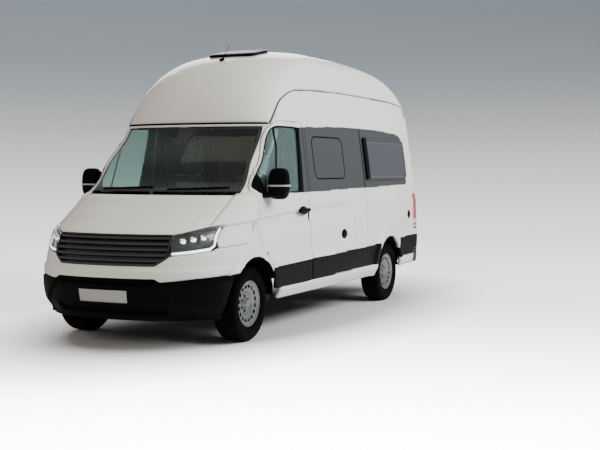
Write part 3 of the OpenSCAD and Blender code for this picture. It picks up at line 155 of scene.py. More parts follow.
def monotone(xs, ys, x):
    """Cubic Hermite curve through (xs, ys). Each slope is the weighted harmonic mean of the two chords
    beside it, or zero where they point different ways, so the curve never overshoots."""
    h = np.diff(xs)
    chord = np.diff(ys) / h
    slope = np.concatenate([chord[:1], np.zeros(len(xs) - 2), chord[-1:]])
    same = chord[:-1] * chord[1:] > 0
    w1, w2 = 2 * h[1:] + h[:-1], h[1:] + 2 * h[:-1]
    left = np.where(same, chord[:-1], 1)
    right = np.where(same, chord[1:], 1)
    slope[1:-1] = np.where(same, (w1 + w2) / (w1 / left + w2 / right), 0)
    x = np.clip(x, xs[0], xs[-1])
    i = np.clip(np.searchsorted(xs, x) - 1, 0, len(xs) - 2)
    t = (x - xs[i]) / h[i]
    rise = (1 + 2 * t) * (1 - t) ** 2 * ys[i] + t * t * (3 - 2 * t) * ys[i + 1]
    return rise + h[i] * (t * (1 - t) ** 2 * slope[i] + t * t * (t - 1) * slope[i + 1])


def level(z):
    """Front end, half width, nose curve, rear end and tail curve of the skin at heights z."""
    return [monotone(LEVEL_Z, COLUMNS[:, k], z) for k in range(5)]


def bow(s):
    """Height of a superellipse over its axis: the PLAN_POWERth root of 1 less s to that power."""
    return np.maximum(0, 1 - np.clip(s, 0, 1) ** PLAN_POWER) ** (1 / PLAN_POWER)


def taper(x):
    """The body narrows behind its middle with the square of the distance."""
    return 1 - REAR_TAPER * (np.maximum(0, -x) / HALF_LENGTH) ** 2


def eased(s):
    """Smooth step from 0 to 1 while s goes from 0 to 1."""
    s = np.clip(s, 0, 1)
    return s * s * (3 - 2 * s)


def bent(v, power):
    """Power of a value that keeps the value's sign."""
    return np.sign(v) * np.abs(v) ** power


RISE_SLOPE, RISE_FROM, RISE_LEAST, RISE_MOST = 0.035, 900, -55, 45
RISE_MIDDLE, RISE_REACH, RISE_FULL = 1176, 220, 1.6


def half_width(x, z):
    """Half width from the table, with the shoulder crease rising gently towards the rear. The heights
    near the crease are read a little lower or higher by place x, and far from it they are read as they
    are."""
    rise = np.clip(RISE_SLOPE * (RISE_FROM - x), RISE_LEAST, RISE_MOST)
    share = eased(RISE_FULL - np.abs(z - RISE_MIDDLE) / RISE_REACH)
    return monotone(LEVEL_Z, COLUMNS[:, 1], z - rise * share)


print("widest half width", round(COLUMNS[:, 1].max()))

# %% [markdown]
# A point of the skin is found in three ways: over a place on the side, at an angle round the nose, or at
# an angle round the tail. Each can be moved in by t, so that panes and linings lie under the same skin.

# %% Points on the skin


def side_y(x, z, t=0):
    """Half width of the skin at place x and height z, moved in by t."""
    front, _, nose, rear, tail = level(z)
    wide = half_width(x, z) * taper(np.maximum(x, rear + tail)) - t
    return wide * bow(np.maximum((x - front + nose) / (nose - t), (rear + tail - x) / (tail - t)))


def on_side(x, z, t=0):
    """Point of the left skin over place x and height z, moved in by t."""
    return np.stack(np.broadcast_arrays(x, side_y(x, z, t), z), -1)


def on_nose(a, z, t=0):
    """Point of the skin at a degrees from the middle of the nose, moved in by t."""
    front, _, nose, _, _ = level(z)
    c, s = np.cos(np.radians(a)), np.sin(np.radians(a))
    x = front - nose + (nose - t) * np.abs(c) ** (2 / PLAN_POWER)
    wide = half_width(x, z) - t
    return np.stack(np.broadcast_arrays(x, wide * bent(s, 2 / PLAN_POWER), z), -1)


def on_tail(b, z, t=0):
    """Point of the skin at b degrees from the middle of the tail, moved in by t."""
    _, _, _, rear, tail = level(z)
    c, s = np.cos(np.radians(b)), np.sin(np.radians(b))
    x = rear + tail - (tail - t) * np.abs(c) ** (2 / PLAN_POWER)
    wide = half_width(rear + tail, z) * taper(rear + tail) - t
    return np.stack(np.broadcast_arrays(x, wide * bent(s, 2 / PLAN_POWER), z), -1)


def nose_angle(point):
    """Degrees from the middle of the nose of a point on the skin."""
    front, _, nose, _, _ = level(point[..., 2])
    s = np.clip((point[..., 0] - front + nose) / nose, 0, 1)
    return np.degrees(np.arccos(s ** (PLAN_POWER / 2)))


print("tip of the nose", on_nose(np.array(0.0), np.array(AXLE_HEIGHT)).round())

# %% [markdown]
# ## Cutting panels out of the skin
# A real panel is a pressing trimmed to an outline. Here a panel starts as a grid of two parameters, and
# its outlines are fields: negative on the metal, positive off it. Grid points close to an outline slide
# onto it by two Newton steps, and the triangles beyond it are dropped. So any outline gets a clean edge,
# with no boolean.

# %% Outlines and panels
TINY, TINY_SQUARE = 1e-9, 1e-12
SLIDE_ROOM, NEWTON_STEPS = 0.52, 2
PROBE = 9.0
ON_MIDDLE = 0.01
ARC_STEPS = 6


def rounded(points):
    """Closed outline with arcs at its corners. Each row of points is place, height and corner radius."""
    p = np.asarray(points, float)
    b = p[:, :2]
    u = np.roll(b, 1, 0) - b
    v = np.roll(b, -1, 0) - b
    u /= np.linalg.norm(u, axis=1)[:, None]
    v /= np.linalg.norm(v, axis=1)[:, None]
    half = np.arccos(np.clip((u * v).sum(1), -1, 1))[:, None] / 2
    r = p[:, 2:3]
    way = (u + v) / np.linalg.norm(u + v, axis=1)[:, None]
    middle = b + way * r / np.sin(half)
    start, end = b + u * r / np.tan(half), b + v * r / np.tan(half)
    k = np.linspace(0, 1, ARC_STEPS + 1)[None, :, None]
    spoke = start[:, None] * (1 - k) + end[:, None] * k - middle[:, None]
    arc = middle[:, None] + r[:, None] * spoke / np.linalg.norm(spoke, axis=2)[..., None]
    return arc.reshape(-1, 2)


def rectangle(x0, x1, z0, z1, r):
    """Rounded rectangle as an outline."""
    return rounded([[x0, z0, r], [x1, z0, r], [x1, z1, r], [x0, z1, r]])


def outline_distance(point, outline, axes=(0, 2)):
    """Signed distance to a closed outline, negative inside: the least distance to its edges, with the
    sign from counting the edges that a level ray crosses."""
    flat = point[..., axes].reshape(-1, 1, 2)
    a, b = outline[None], np.roll(outline, -1, 0)[None]
    edge = b - a
    t = np.clip(((flat - a) * edge).sum(2) / np.maximum((edge * edge).sum(2), TINY), 0, 1)
    far = np.linalg.norm(flat - a - t[..., None] * edge, axis=2).min(1)
    low, high = a[..., 1] > flat[..., 1], b[..., 1] > flat[..., 1]
    rise = np.where(edge[..., 1] == 0, 1, edge[..., 1])
    cross = a[..., 0] + (flat[..., 1] - a[..., 1]) / rise * edge[..., 0]
    inside = ((low != high) & (flat[..., 0] < cross)).sum(1) % 2 == 1
    return np.where(inside, -far, far).reshape(point.shape[:-1])


def within(outline, grow=0, axes=(0, 2)):
    """Field that keeps what is inside an outline grown by that much."""
    return lambda point: outline_distance(point, outline, axes) - grow


def outside(outline, grow=0, axes=(0, 2)):
    """Field that keeps what is outside an outline grown by that much."""
    return lambda point: grow - outline_distance(point, outline, axes)


def off_wheel(x):
    """Field that keeps what is outside the round wheel opening over place x."""
    return lambda point: ARCH_RADIUS - np.hypot(point[..., 0] - x, point[..., 2] - AXLE_HEIGHT)


print("outline tools ready")

# %% [markdown]
# This is the cut itself. Every field moves the grid points near its outline onto it. Then each triangle
# is kept or dropped by the place of its middle, and the inset rolls the edges and raises the relief.

# %% Cutting


def facing_out(points, tris, outward):
    """The triangles, all turned round if they mostly look against the outward directions of their
    points."""
    a, b, c = (points[tris[:, k]] for k in range(3))
    looks = (np.cross(b - a, c - a) * outward[tris[:, 0]]).sum()
    return tris if looks > 0 else tris[:, ::-1]


def cut_panel(lift, p, q, cuts, marks=(), relief=None, dip=2.0):
    """Panel of the surface lift(p, q, inset). Points near an outline slide onto it along the field's own
    gradient in p and q. relief(points) gives how far the metal stands out, and dip rolls the edge in.
    Returns points, triangles and, for each mark, which triangles lie inside it."""
    grid_p, grid_q = np.meshgrid(p, q, indexing="ij")
    base = lift(grid_p, grid_q)
    room_p, room_q = SLIDE_ROOM * np.gradient(p)[:, None], SLIDE_ROOM * np.gradient(q)[None, :]
    best = np.full(grid_p.shape, np.inf)
    slide_p, slide_q = np.zeros_like(grid_p), np.zeros_like(grid_q)
    on_edge = np.zeros(grid_p.shape, bool)
    for k, field in enumerate([*cuts, *marks]):
        f = field(base)
        gp, gq = np.gradient(f, p, q)
        size = np.maximum(gp * gp + gq * gq, TINY_SQUARE)
        for _ in range(NEWTON_STEPS):
            move_p, move_q = -f * gp / size, -f * gq / size
            f = f + field(lift(grid_p + move_p, grid_q + move_q))
        near = np.hypot(move_p / room_p, move_q / room_q)
        take = (near < 1) & (near < best)
        best = np.where(take, near, best)
        slide_p, slide_q = np.where(take, move_p, slide_p), np.where(take, move_q, slide_q)
        on_edge = np.where(take, k < len(cuts), on_edge)
    snapped = best < 1
    grid_p, grid_q = grid_p + slide_p, grid_q + slide_q
    index = np.arange(grid_p.size).reshape(grid_p.shape)
    a, b, c, d = (x.ravel() for x in (index[:-1, :-1], index[1:, :-1], index[1:, 1:], index[:-1, 1:]))
    s = snapped.ravel()
    turn = (s[b] & s[d] & ~(s[a] & s[c]))[:, None]
    first = np.where(turn, np.stack([a, b, d], 1), np.stack([a, b, c], 1))
    second = np.where(turn, np.stack([b, c, d], 1), np.stack([a, c, d], 1))
    tris = np.concatenate([first, second])
    flat_p, flat_q = grid_p.ravel(), grid_q.ravel()
    centre = lift(flat_p[tris].mean(1), flat_q[tris].mean(1))
    keep = np.all([np.ones(len(tris), bool), *(field(centre) < 0 for field in cuts)], axis=0)
    tris, centre = tris[keep], centre[keep]
    zones = [field(centre) < 0 for field in marks]
    used, tris = np.unique(tris, return_inverse=True)
    tris = tris.reshape(-1, 3)
    inset = np.where(on_edge, dip, 0.0)
    if relief is not None:
        inset = inset - relief(lift(grid_p, grid_q))
    points = lift(grid_p, grid_q, inset).reshape(-1, 3)[used]
    outward = (lift(grid_p, grid_q, -PROBE) - base).reshape(-1, 3)[used]
    return points, facing_out(points, tris, outward), zones


print("cutting tools ready")

# %% [markdown]
# A piece is a mesh with its finishes. Most pieces come in pairs, so the right side is the left one
# mirrored.

# %% Pieces


def grid_faces(rows, columns, closed=False):
    """Quads of a grid of rows by columns; a closed grid also joins its last column to its first."""
    i = np.arange(rows - 1)[:, None]
    j = np.arange(columns if closed else columns - 1)[None, :]
    k = (j + 1) % columns
    return np.stack(np.broadcast_arrays(i * columns + j, i * columns + k, (i + 1) * columns + k,
                                        (i + 1) * columns + j), -1).reshape(-1, 4)


def mirrored(points, faces):
    """The same shape on the other side: y changes sign, and faces turn so that they still point out."""
    return points * np.array([1, -1, 1]), faces[:, ::-1]


def unchanged(points, faces):
    """The shape as it is: the left side's turn."""
    return points, faces


SIDES = (("left", unchanged), ("right", mirrored))


def paired(points, faces):
    """Both sides in one mesh: the shape and its mirror image, which share the points on the middle
    plane."""
    other, turned = mirrored(points, faces)
    number = np.arange(len(points)) + len(points)
    number = np.where(np.abs(points[:, 1]) < ON_MIDDLE, np.arange(len(points)), number)
    return np.concatenate([points, other]), np.concatenate([faces, number[turned]])


piece_log = {}


def make_piece(name, points, faces, materials, body, stands_for=(), slot=None, zone=None, wall=0,
               lining=None):
    """Mesh object from points in millimetres. It gets its materials, its wall inwards, rides on a body
    and stands for CAD nodes. A lining is the finish of the wall's inner face."""
    mesh = bpy.data.meshes.new(name)
    faces = np.asarray(faces)
    mesh.from_pydata((np.asarray(points, float) * MM).tolist(), [], faces.tolist())
    for material in materials:
        mesh.materials.append(material)
    if zone is not None:
        mesh.polygons.foreach_set("material_index", np.asarray(zone, np.int32))
    mesh.polygons.foreach_set("use_smooth", np.full(len(mesh.polygons), True))
    mesh.update()
    piece = bpy.data.objects.new(name, mesh)
    bpy.context.scene.collection.objects.link(piece)
    if wall:
        solid = piece.modifiers.new("wall", "SOLIDIFY")
        solid.thickness = abs(wall) * MM
        solid.offset = -1 if wall > 0 else 1
        solid.use_even_offset = False
        if lining is not None:
            solid.material_offset = len(materials)
            solid.material_offset_rim = 0
            for _ in materials:
                mesh.materials.append(lining)
    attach(piece, body)
    if stands_for:
        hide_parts(*stands_for)
    piece_log[name] = len(faces)
    return piece


print("piece tools ready")

# %% [markdown]
# ## Finishes
# Paint, moulded plastic, rubber and cloth share a few effects: the fine ripple of sprayed paint, the
# grain of a mould, the dust that the road throws up and a woven thread. Each effect is one node group,
# built once and placed in every material that shows it, with its own values. A group only gives out
# masks, values and normals.

# %% Shared effects


def effect_group(name, inputs, outputs):
    """Empty shader group with named float inputs and typed outputs, ready to fill."""
    tree = bpy.data.node_groups.new(name, "ShaderNodeTree")
    for label, value in inputs.items():
        tree.interface.new_socket(label, in_out="INPUT",
                                  socket_type="NodeSocketFloat").default_value = value
    for label, kind in outputs.items():
        tree.interface.new_socket(label, in_out="OUTPUT", socket_type=kind)
    return tree, tree.nodes.new("NodeGroupInput"), tree.nodes.new("NodeGroupOutput")


def add_node(tree, kind, **settings):
    """New node whose attributes and input values are set by name; inputs are given as in_NAME."""
    made = tree.nodes.new(kind)
    for key, value in settings.items():
        if key.startswith("in_"):
            made.inputs[key[3:].replace("_", " ")].default_value = value
        else:
            setattr(made, key, value)
    return made


def wire(tree, *joins):
    """Links: each join is a node, its output, the next node and its input."""
    for start, given, end, taken in joins:
        tree.links.new(start.outputs[given], end.inputs[taken])


def grain_group(name, texture):
    """Fine relief of a finish: a noise or cell pattern on object coordinates drives a bump, and its slow
    variation drives a value round one half."""
    tree, given, out = effect_group(name, {"Scale": 800.0, "Strength": 0.1, "Distance": 0.001},
                                    {"Normal": "NodeSocketVector", "Value": "NodeSocketFloat"})
    place = add_node(tree, "ShaderNodeTexCoord")
    fine = add_node(tree, texture)
    slow = add_node(tree, "ShaderNodeTexNoise", in_Scale=3.0, in_Detail=3.0)
    bump = add_node(tree, "ShaderNodeBump")
    height = "Fac" if "Fac" in fine.outputs else "Distance"
    wire(tree, (place, "Object", fine, "Vector"), (place, "Object", slow, "Vector"),
         (given, "Scale", fine, "Scale"), (fine, height, bump, "Height"),
         (given, "Strength", bump, "Strength"), (given, "Distance", bump, "Distance"),
         (bump, "Normal", out, "Normal"), (slow, "Fac", out, "Value"))
    return tree


def dust_group():
    """Road dust: strongest at the ground, gone at Reach metres, and broken up by noise."""
    tree, given, out = effect_group("road_dust", {"Reach": 0.8, "Amount": 0.2},
                                    {"Mask": "NodeSocketFloat"})
    place = add_node(tree, "ShaderNodeTexCoord")
    split = add_node(tree, "ShaderNodeSeparateXYZ")
    low = add_node(tree, "ShaderNodeMapRange", in_To_Min=1.0, in_To_Max=0.0)
    patch = add_node(tree, "ShaderNodeTexNoise", in_Scale=9.0, in_Detail=6.0)
    both = add_node(tree, "ShaderNodeMath", operation="MULTIPLY")
    share = add_node(tree, "ShaderNodeMath", operation="MULTIPLY", use_clamp=True)
    wire(tree, (place, "Object", split, "Vector"), (place, "Object", patch, "Vector"),
         (split, "Z", low, "Value"), (given, "Reach", low, "From Max"), (low, "Result", both, 0),
         (patch, "Fac", both, 1), (both, "Value", share, 0), (given, "Amount", share, 1),
         (share, "Value", out, "Mask"))
    return tree


def weave_group():
    """Plain weave: two crossed wave patterns on object coordinates, as a value and as a normal."""
    tree, given, out = effect_group("weave", {"Scale": 260.0, "Strength": 0.4},
                                    {"Thread": "NodeSocketFloat", "Normal": "NodeSocketVector"})
    place = add_node(tree, "ShaderNodeTexCoord")
    warp = add_node(tree, "ShaderNodeTexWave", bands_direction="Y", in_Distortion=1.5)
    weft = add_node(tree, "ShaderNodeTexWave", bands_direction="Z", in_Distortion=1.5)
    both = add_node(tree, "ShaderNodeMath", operation="MULTIPLY")
    bump = add_node(tree, "ShaderNodeBump", in_Distance=0.001)
    for thread, socket in ((warp, 0), (weft, 1)):
        wire(tree, (place, "Object", thread, "Vector"), (given, "Scale", thread, "Scale"),
             (thread, "Fac", both, socket))
    wire(tree, (both, "Value", bump, "Height"), (given, "Strength", bump, "Strength"),
         (both, "Value", out, "Thread"), (bump, "Normal", out, "Normal"))
    return tree


SPRAY = grain_group("paint_ripple", "ShaderNodeTexNoise")
MOULD = grain_group("mould_grain", "ShaderNodeTexVoronoi")
DUST = dust_group()
WEAVE = weave_group()
print("effects:", [tree.name for tree in bpy.data.node_groups])

# %% [markdown]
# A finish is then a short recipe. The constant values go straight onto the shader's own sockets, and only
# what changes over the surface comes from a group: a little tone, the relief and the dust.

# %% Recipes
WOVEN_ROUGH, PANE_IOR = 0.9, 1.45
DUST_COLOUR = (0.36, 0.33, 0.29, 1.0)


def bare_material(name, **sockets):
    """Material with one Principled shader whose sockets are set by name, with spaces as underscores."""
    material = bpy.data.materials.new(name)
    material.use_nodes = True
    shader = material.node_tree.nodes["Principled BSDF"]
    for label, value in sockets.items():
        shader.inputs[label.replace("_", " ")].default_value = value
    return material, material.node_tree, shader


def tone_colour(tree, mask, low, high):
    """Colour between two, by a mask."""
    blend = add_node(tree, "ShaderNodeMix", data_type="RGBA")
    blend.inputs["A"].default_value = (*low, 1.0)
    blend.inputs["B"].default_value = (*high, 1.0)
    tree.links.new(mask, blend.inputs["Factor"])
    return blend.outputs["Result"]


def dusted(tree, colour, reach, amount):
    """The colour with road dust laid over it."""
    dust = add_node(tree, "ShaderNodeGroup", node_tree=DUST, in_Reach=reach, in_Amount=amount)
    blend = add_node(tree, "ShaderNodeMix", data_type="RGBA")
    blend.inputs["B"].default_value = DUST_COLOUR
    tree.links.new(colour, blend.inputs["A"])
    tree.links.new(dust.outputs["Mask"], blend.inputs["Factor"])
    return blend.outputs["Result"]


def grained(name, low, high, effect, scale, strength, rough=(0.4, 0.5), dust=(0.0, 0.0), distance=0.001,
            **sockets):
    """Painted or moulded finish: two close tones, a grain and, near the ground, dust."""
    material, tree, shader = bare_material(name, **sockets)
    grain = add_node(tree, "ShaderNodeGroup", node_tree=effect, in_Scale=scale, in_Strength=strength,
                     in_Distance=distance)
    colour = tone_colour(tree, grain.outputs["Value"], low, high)
    if dust[1]:
        colour = dusted(tree, colour, *dust)
    spread = add_node(tree, "ShaderNodeMapRange", in_To_Min=rough[0], in_To_Max=rough[1])
    tree.links.new(colour, shader.inputs["Base Color"])
    wire(tree, (grain, "Value", spread, "Value"), (spread, "Result", shader, "Roughness"),
         (grain, "Normal", shader, "Normal"))
    return material


def woven(name, low, high, scale, strength, **sockets):
    """Cloth: two thread colours crossed in a plain weave."""
    material, tree, shader = bare_material(name, Roughness=WOVEN_ROUGH, **sockets)
    weave = add_node(tree, "ShaderNodeGroup", node_tree=WEAVE, in_Scale=scale, in_Strength=strength)
    tree.links.new(tone_colour(tree, weave.outputs["Thread"], low, high), shader.inputs["Base Color"])
    tree.links.new(weave.outputs["Normal"], shader.inputs["Normal"])
    return material


def glazed(name, colour, rough, **sockets):
    """Clear pane: light passes through it tinted."""
    return bare_material(name, Base_Color=(*colour, 1.0), Roughness=rough, Transmission_Weight=1.0,
                         IOR=PANE_IOR, **sockets)[0]


print("recipes ready")

# %% [markdown]
# Each finish is one line. A grained one lists two tones, the effect with its scale and strength, the
# range of roughness, the dust's reach and amount, and the relief's depth.

# %% Materials
PAINT = grained("white_paint", (0.79, 0.770, 0.715), (0.83, 0.810, 0.755), SPRAY, 420, 0.02, (0.30, 0.38),
                (0.6, 0.03), 0.0004, Coat_Weight=0.4, Coat_Roughness=0.10)
FILM = grained("grey_film", (0.050, 0.0518, 0.0540), (0.060, 0.0618, 0.0640), SPRAY, 300, 0.02,
               (0.30, 0.38), distance=0.0003, Specular_IOR_Level=0.3)
BAND = grained("dark_band", (0.0036, 0.0036, 0.0036), (0.0048, 0.0048, 0.0048), MOULD, 900, 0.08,
               (0.40, 0.50), (0.8, 0.02), 0.0005, Specular_IOR_Level=0.06)
GUARD = grained("grey_plastic", (0.030, 0.031, 0.032), (0.042, 0.043, 0.044), MOULD, 900, 0.08,
                (0.36, 0.46), (0.8, 0.02), 0.0005, Specular_IOR_Level=0.3)
MOULDED = grained("black_plastic", (0.0015, 0.0015, 0.0016), (0.0026, 0.0026, 0.0027), MOULD, 700, 0.22,
                  (0.42, 0.55), (0.6, 0.006), 0.0006, Specular_IOR_Level=0.07)
TRIM = grained("black_trim", (0.002, 0.002, 0.0022), (0.003, 0.003, 0.0032), MOULD, 1100, 0.08,
               (0.30, 0.38), distance=0.0004, Specular_IOR_Level=0.10)
GLOSS = grained("gloss_black", (0.022, 0.022, 0.0224), (0.028, 0.028, 0.0284), SPRAY, 500, 0.02,
                (0.22, 0.30), distance=0.0003, Specular_IOR_Level=0.7)
SEAL = grained("rubber_seal", (0.0015, 0.0015, 0.0015), (0.0025, 0.0025, 0.0025), SPRAY, 900, 0.1,
               (0.6, 0.75), Specular_IOR_Level=0.05)
RUBBER = grained("tyre_rubber", (0.0012, 0.0012, 0.0012), (0.0022, 0.0021, 0.0020), MOULD, 500, 0.15,
                 (0.62, 0.78), (0.3, 0.015), 0.0008, Specular_IOR_Level=0.06)
SILVER = grained("rim_silver", (0.26, 0.262, 0.265), (0.33, 0.333, 0.336), SPRAY, 900, 0.05, (0.30, 0.40),
                 (0.7, 0.06), 0.0004, Metallic=0.75)
STEEL = grained("black_steel", (0.010, 0.010, 0.0105), (0.020, 0.0195, 0.019), SPRAY, 260, 0.3,
                (0.55, 0.75), (0.9, 0.12), Specular_IOR_Level=0.2)
IRON = grained("cast_iron", (0.05, 0.049, 0.047), (0.09, 0.088, 0.085), MOULD, 300, 0.4, (0.55, 0.7),
               (0.7, 0.1), Metallic=0.6)
DULL_STEEL = grained("exhaust_steel", (0.16, 0.15, 0.135), (0.26, 0.24, 0.215), SPRAY, 200, 0.2,
                     (0.35, 0.55), (0.6, 0.1), Metallic=0.9)
DASH = grained("dash_plastic", (0.006, 0.006, 0.0063), (0.010, 0.010, 0.0105), MOULD, 900, 0.25,
               (0.6, 0.7), Specular_IOR_Level=0.12)
LINING = grained("cloth_lining", (0.014, 0.0135, 0.012), (0.020, 0.019, 0.017), MOULD, 500, 0.2,
                 (0.7, 0.8), Specular_IOR_Level=0.1)
VENEER = grained("veneer", (0.10, 0.07, 0.042), (0.16, 0.12, 0.075), SPRAY, 40, 0.1, (0.4, 0.5))
CLOTH = woven("seat_cloth", (0.008, 0.008, 0.009), (0.026, 0.026, 0.028), 330, 0.5, Sheen_Weight=0.1)
COVER = woven("mattress_cover", (0.20, 0.18, 0.15), (0.32, 0.29, 0.25), 260, 0.5, Sheen_Weight=0.2)
REFLECTOR = grained("lamp_inside", (0.030, 0.031, 0.033), (0.060, 0.062, 0.065), SPRAY, 60, 0.1,
                    (0.18, 0.3), Metallic=0.5)
BRIGHT = grained("bright_metal", (0.72, 0.73, 0.74), (0.80, 0.81, 0.82), SPRAY, 300, 0.02, (0.08, 0.16),
                 distance=0.0002, Metallic=1.0)
PLATE = grained("plate_white", (0.40, 0.40, 0.39), (0.46, 0.46, 0.45), SPRAY, 500, 0.05, (0.35, 0.45),
                distance=0.0003)
CLEAR_GLASS = glazed("clear_glass", (0.74, 0.93, 0.87), 0.0)
DOOR_GLASS = bare_material("door_glass", Base_Color=(0.36, 0.50, 0.47, 1), Roughness=0.02,
                           Transmission_Weight=0.86, IOR=PANE_IOR)[0]
DARK_GLASS = bare_material("dark_glass", Base_Color=(0.070, 0.072, 0.083, 1), Roughness=0.16,
                           Transmission_Weight=0.1, IOR=1.5)[0]
LENS = glazed("lamp_lens", (0.97, 0.98, 0.98), 0.0)
RED_LENS = bare_material("lamp_red", Base_Color=(0.62, 0.10, 0.13, 1), Roughness=0.12,
                         Transmission_Weight=0.15, Coat_Weight=0.6)[0]
LIGHT_STRIP = bare_material("light_strip", Base_Color=(0.9, 0.92, 0.95, 1), Roughness=0.25,
                            Emission_Color=(0.95, 0.98, 1.0, 1), Emission_Strength=2.2)[0]
print("materials:", len(bpy.data.materials))

# %% [markdown]
# ## Studio
# The van stands in a round studio: a flat pale floor that sweeps up into a wall on every side, so no
# horizon line shows from any angle. The colour goes from a middle grey at the floor to a paler, cooler
# one higher up. A glow is added for the eye alone, straight on or through glass, and it casts no light of
# its own. It paints a pool of light on the floor before the nose, as on an overexposed white floor, and
# it is left out round the van, so that a painted shadow darkens the floor there.

# %% Studio floor
FLOOR_FLAT, SWEEP_RADIUS, WALL_TOP = 20.0, 7.0, 16.0
# The first glow strength is a painted pool of light on the floor before the nose.
PAINTED_POOL_GLOW, FAR_GLOW, GLOW_FADE, WALL_FADE = 30.0, 1.35, 3.0, (-1.0, 9.5)
PAINTED_POOL_MIDDLE, PAINTED_POOL_END, WALL_GLOW_TOP = (8.0, 4.5, 0), 12.0, 8.5
# First pair: the oval round the van where the glow fades out, which paints the van's shadow on the floor.
PAINTED_SHADOW_OVAL, PAINTED_SHADOW_FADE = ((1 / 3.3, 1 / 1.45, 0), (0, 0, 0)), (0.9, 1.6)
FLOOR_COLOUR, WALL_COLOUR = (0.55, 0.55, 0.548), (0.68, 0.77, 0.84)
STUDIO_SPOKES = 96


def studio_profile(s):
    """Radius and height of the studio floor along its length s: flat, then a quarter circle, then
    upright."""
    quarter = SWEEP_RADIUS * math.pi / 2
    turn = np.clip((s - FLOOR_FLAT) / quarter, 0, 1) * math.pi / 2
    r = np.minimum(s, FLOOR_FLAT) + SWEEP_RADIUS * np.sin(turn)
    return r, SWEEP_RADIUS * (1 - np.cos(turn)) + np.maximum(0, s - FLOOR_FLAT - quarter)


along = np.concatenate([[0.01], np.linspace(4, FLOOR_FLAT, 6),
                        np.linspace(FLOOR_FLAT + 0.5, FLOOR_FLAT + WALL_TOP, 24)])
round_angle = np.linspace(0, 2 * math.pi, STUDIO_SPOKES + 1)[:-1]
floor_r, floor_z = studio_profile(along)
floor_grid = np.broadcast_arrays(floor_r[:, None] * np.cos(round_angle),
                                 floor_r[:, None] * np.sin(round_angle), floor_z[:, None])
floor_points = np.stack(floor_grid, -1).reshape(-1, 3)
floor_faces = grid_faces(len(along), STUDIO_SPOKES, closed=True)
floor_mesh = bpy.data.meshes.new("studio")
floor_mesh.from_pydata(floor_points.tolist(), [], floor_faces.tolist())
floor_mesh.polygons.foreach_set("use_smooth", np.full(len(floor_mesh.polygons), True))
studio = bpy.data.objects.new("studio", floor_mesh)
bpy.context.scene.collection.objects.link(studio)
print("studio radius", FLOOR_FLAT + SWEEP_RADIUS)

# %% [markdown]
# The glow is the sum of two masks: a painted pool of light that falls off with the distance from its
# middle, and a wash that falls off with height. Both are taken away in an oval round the van: this
# paints the van's shadow on the floor, on top of the shadow that the lights cast.

# %% Studio material
studio_parts = bare_material("studio_floor", Roughness=0.85, Specular_IOR_Level=0.1,
                             Emission_Color=(1.0, 1.0, 1.0, 1))
studio_material, studio_tree, studio_shader = studio_parts
studio_place = add_node(studio_tree, "ShaderNodeTexCoord")
studio_split = add_node(studio_tree, "ShaderNodeSeparateXYZ")
studio_rise = add_node(studio_tree, "ShaderNodeMapRange", interpolation_type="SMOOTHSTEP",
                       in_From_Min=WALL_FADE[0], in_From_Max=WALL_FADE[1])
studio_tree.links.new(studio_place.outputs["Object"], studio_split.inputs["Vector"])
studio_tree.links.new(studio_split.outputs["Z"], studio_rise.inputs["Value"])
studio_colour = tone_colour(studio_tree, studio_rise.outputs["Result"], FLOOR_COLOUR, WALL_COLOUR)
studio_tree.links.new(studio_colour, studio_shader.inputs["Base Color"])


def floor_distance(scale, middle):
    """Distance of a place on the floor from a middle, scaled by axis."""
    value = studio_place.outputs["Object"]
    for operation, by in (("SUBTRACT", middle), ("MULTIPLY", scale)):
        step = add_node(studio_tree, "ShaderNodeVectorMath", operation=operation)
        step.inputs[1].default_value = by
        studio_tree.links.new(value, step.inputs[0])
        value = step.outputs["Vector"]
    length = add_node(studio_tree, "ShaderNodeVectorMath", operation="LENGTH")
    studio_tree.links.new(value, length.inputs[0])
    return length.outputs["Value"]


def reckon(operation, *values):
    """Math node on two values, each a socket or a number."""
    made = add_node(studio_tree, "ShaderNodeMath", operation=operation)
    for given, socket in zip(values, made.inputs):
        if isinstance(given, float):
            socket.default_value = given
        else:
            studio_tree.links.new(given, socket)
    return made.outputs["Value"]


def fade(value, start, end, power=1.0):
    """Mask that falls from 1 at start to 0 at end, raised to a power."""
    down = add_node(studio_tree, "ShaderNodeMapRange", in_From_Min=start, in_From_Max=end, in_To_Min=1.0,
                    in_To_Max=0.0)
    studio_tree.links.new(value, down.inputs["Value"])
    return reckon("POWER", down.outputs["Result"], power)


path_kind = add_node(studio_tree, "ShaderNodeLightPath").outputs
seen = reckon("MAXIMUM", path_kind["Is Camera Ray"], path_kind["Is Transmission Ray"])
# Painted shadow: the glow is taken away in an oval round the van.
outside_painted_shadow = reckon("SUBTRACT", 1.0, fade(floor_distance(*PAINTED_SHADOW_OVAL), *PAINTED_SHADOW_FADE))
# Painted pool of light: a glow that falls off round a place before the nose.
painted_light_pool = reckon("MULTIPLY", fade(floor_distance((1, 1, 0), PAINTED_POOL_MIDDLE), 0.0, PAINTED_POOL_END, GLOW_FADE),
              PAINTED_POOL_GLOW)
far = reckon("MULTIPLY", fade(studio_split.outputs["Z"], 0.0, WALL_GLOW_TOP, GLOW_FADE), FAR_GLOW)
# Painted light and painted shadow together: the pool and the wash, less the oval round the van.
painted_glow = reckon("MULTIPLY", reckon("ADD", painted_light_pool, far), reckon("MULTIPLY", outside_painted_shadow, seen))
studio_tree.links.new(painted_glow, studio_shader.inputs["Emission Strength"])
floor_mesh.materials.append(studio_material)
print("studio nodes:", len(studio_tree.nodes))

# %% [markdown]
# A car studio uses very large soft boxes, so that edges show as long smooth highlights. The main one is
# over the left side. Weaker, warmer ones face the nose and the roof. These three stay out of reflections,
# so that the glass is clear. A fourth lights the rear, and the world adds an even fill.

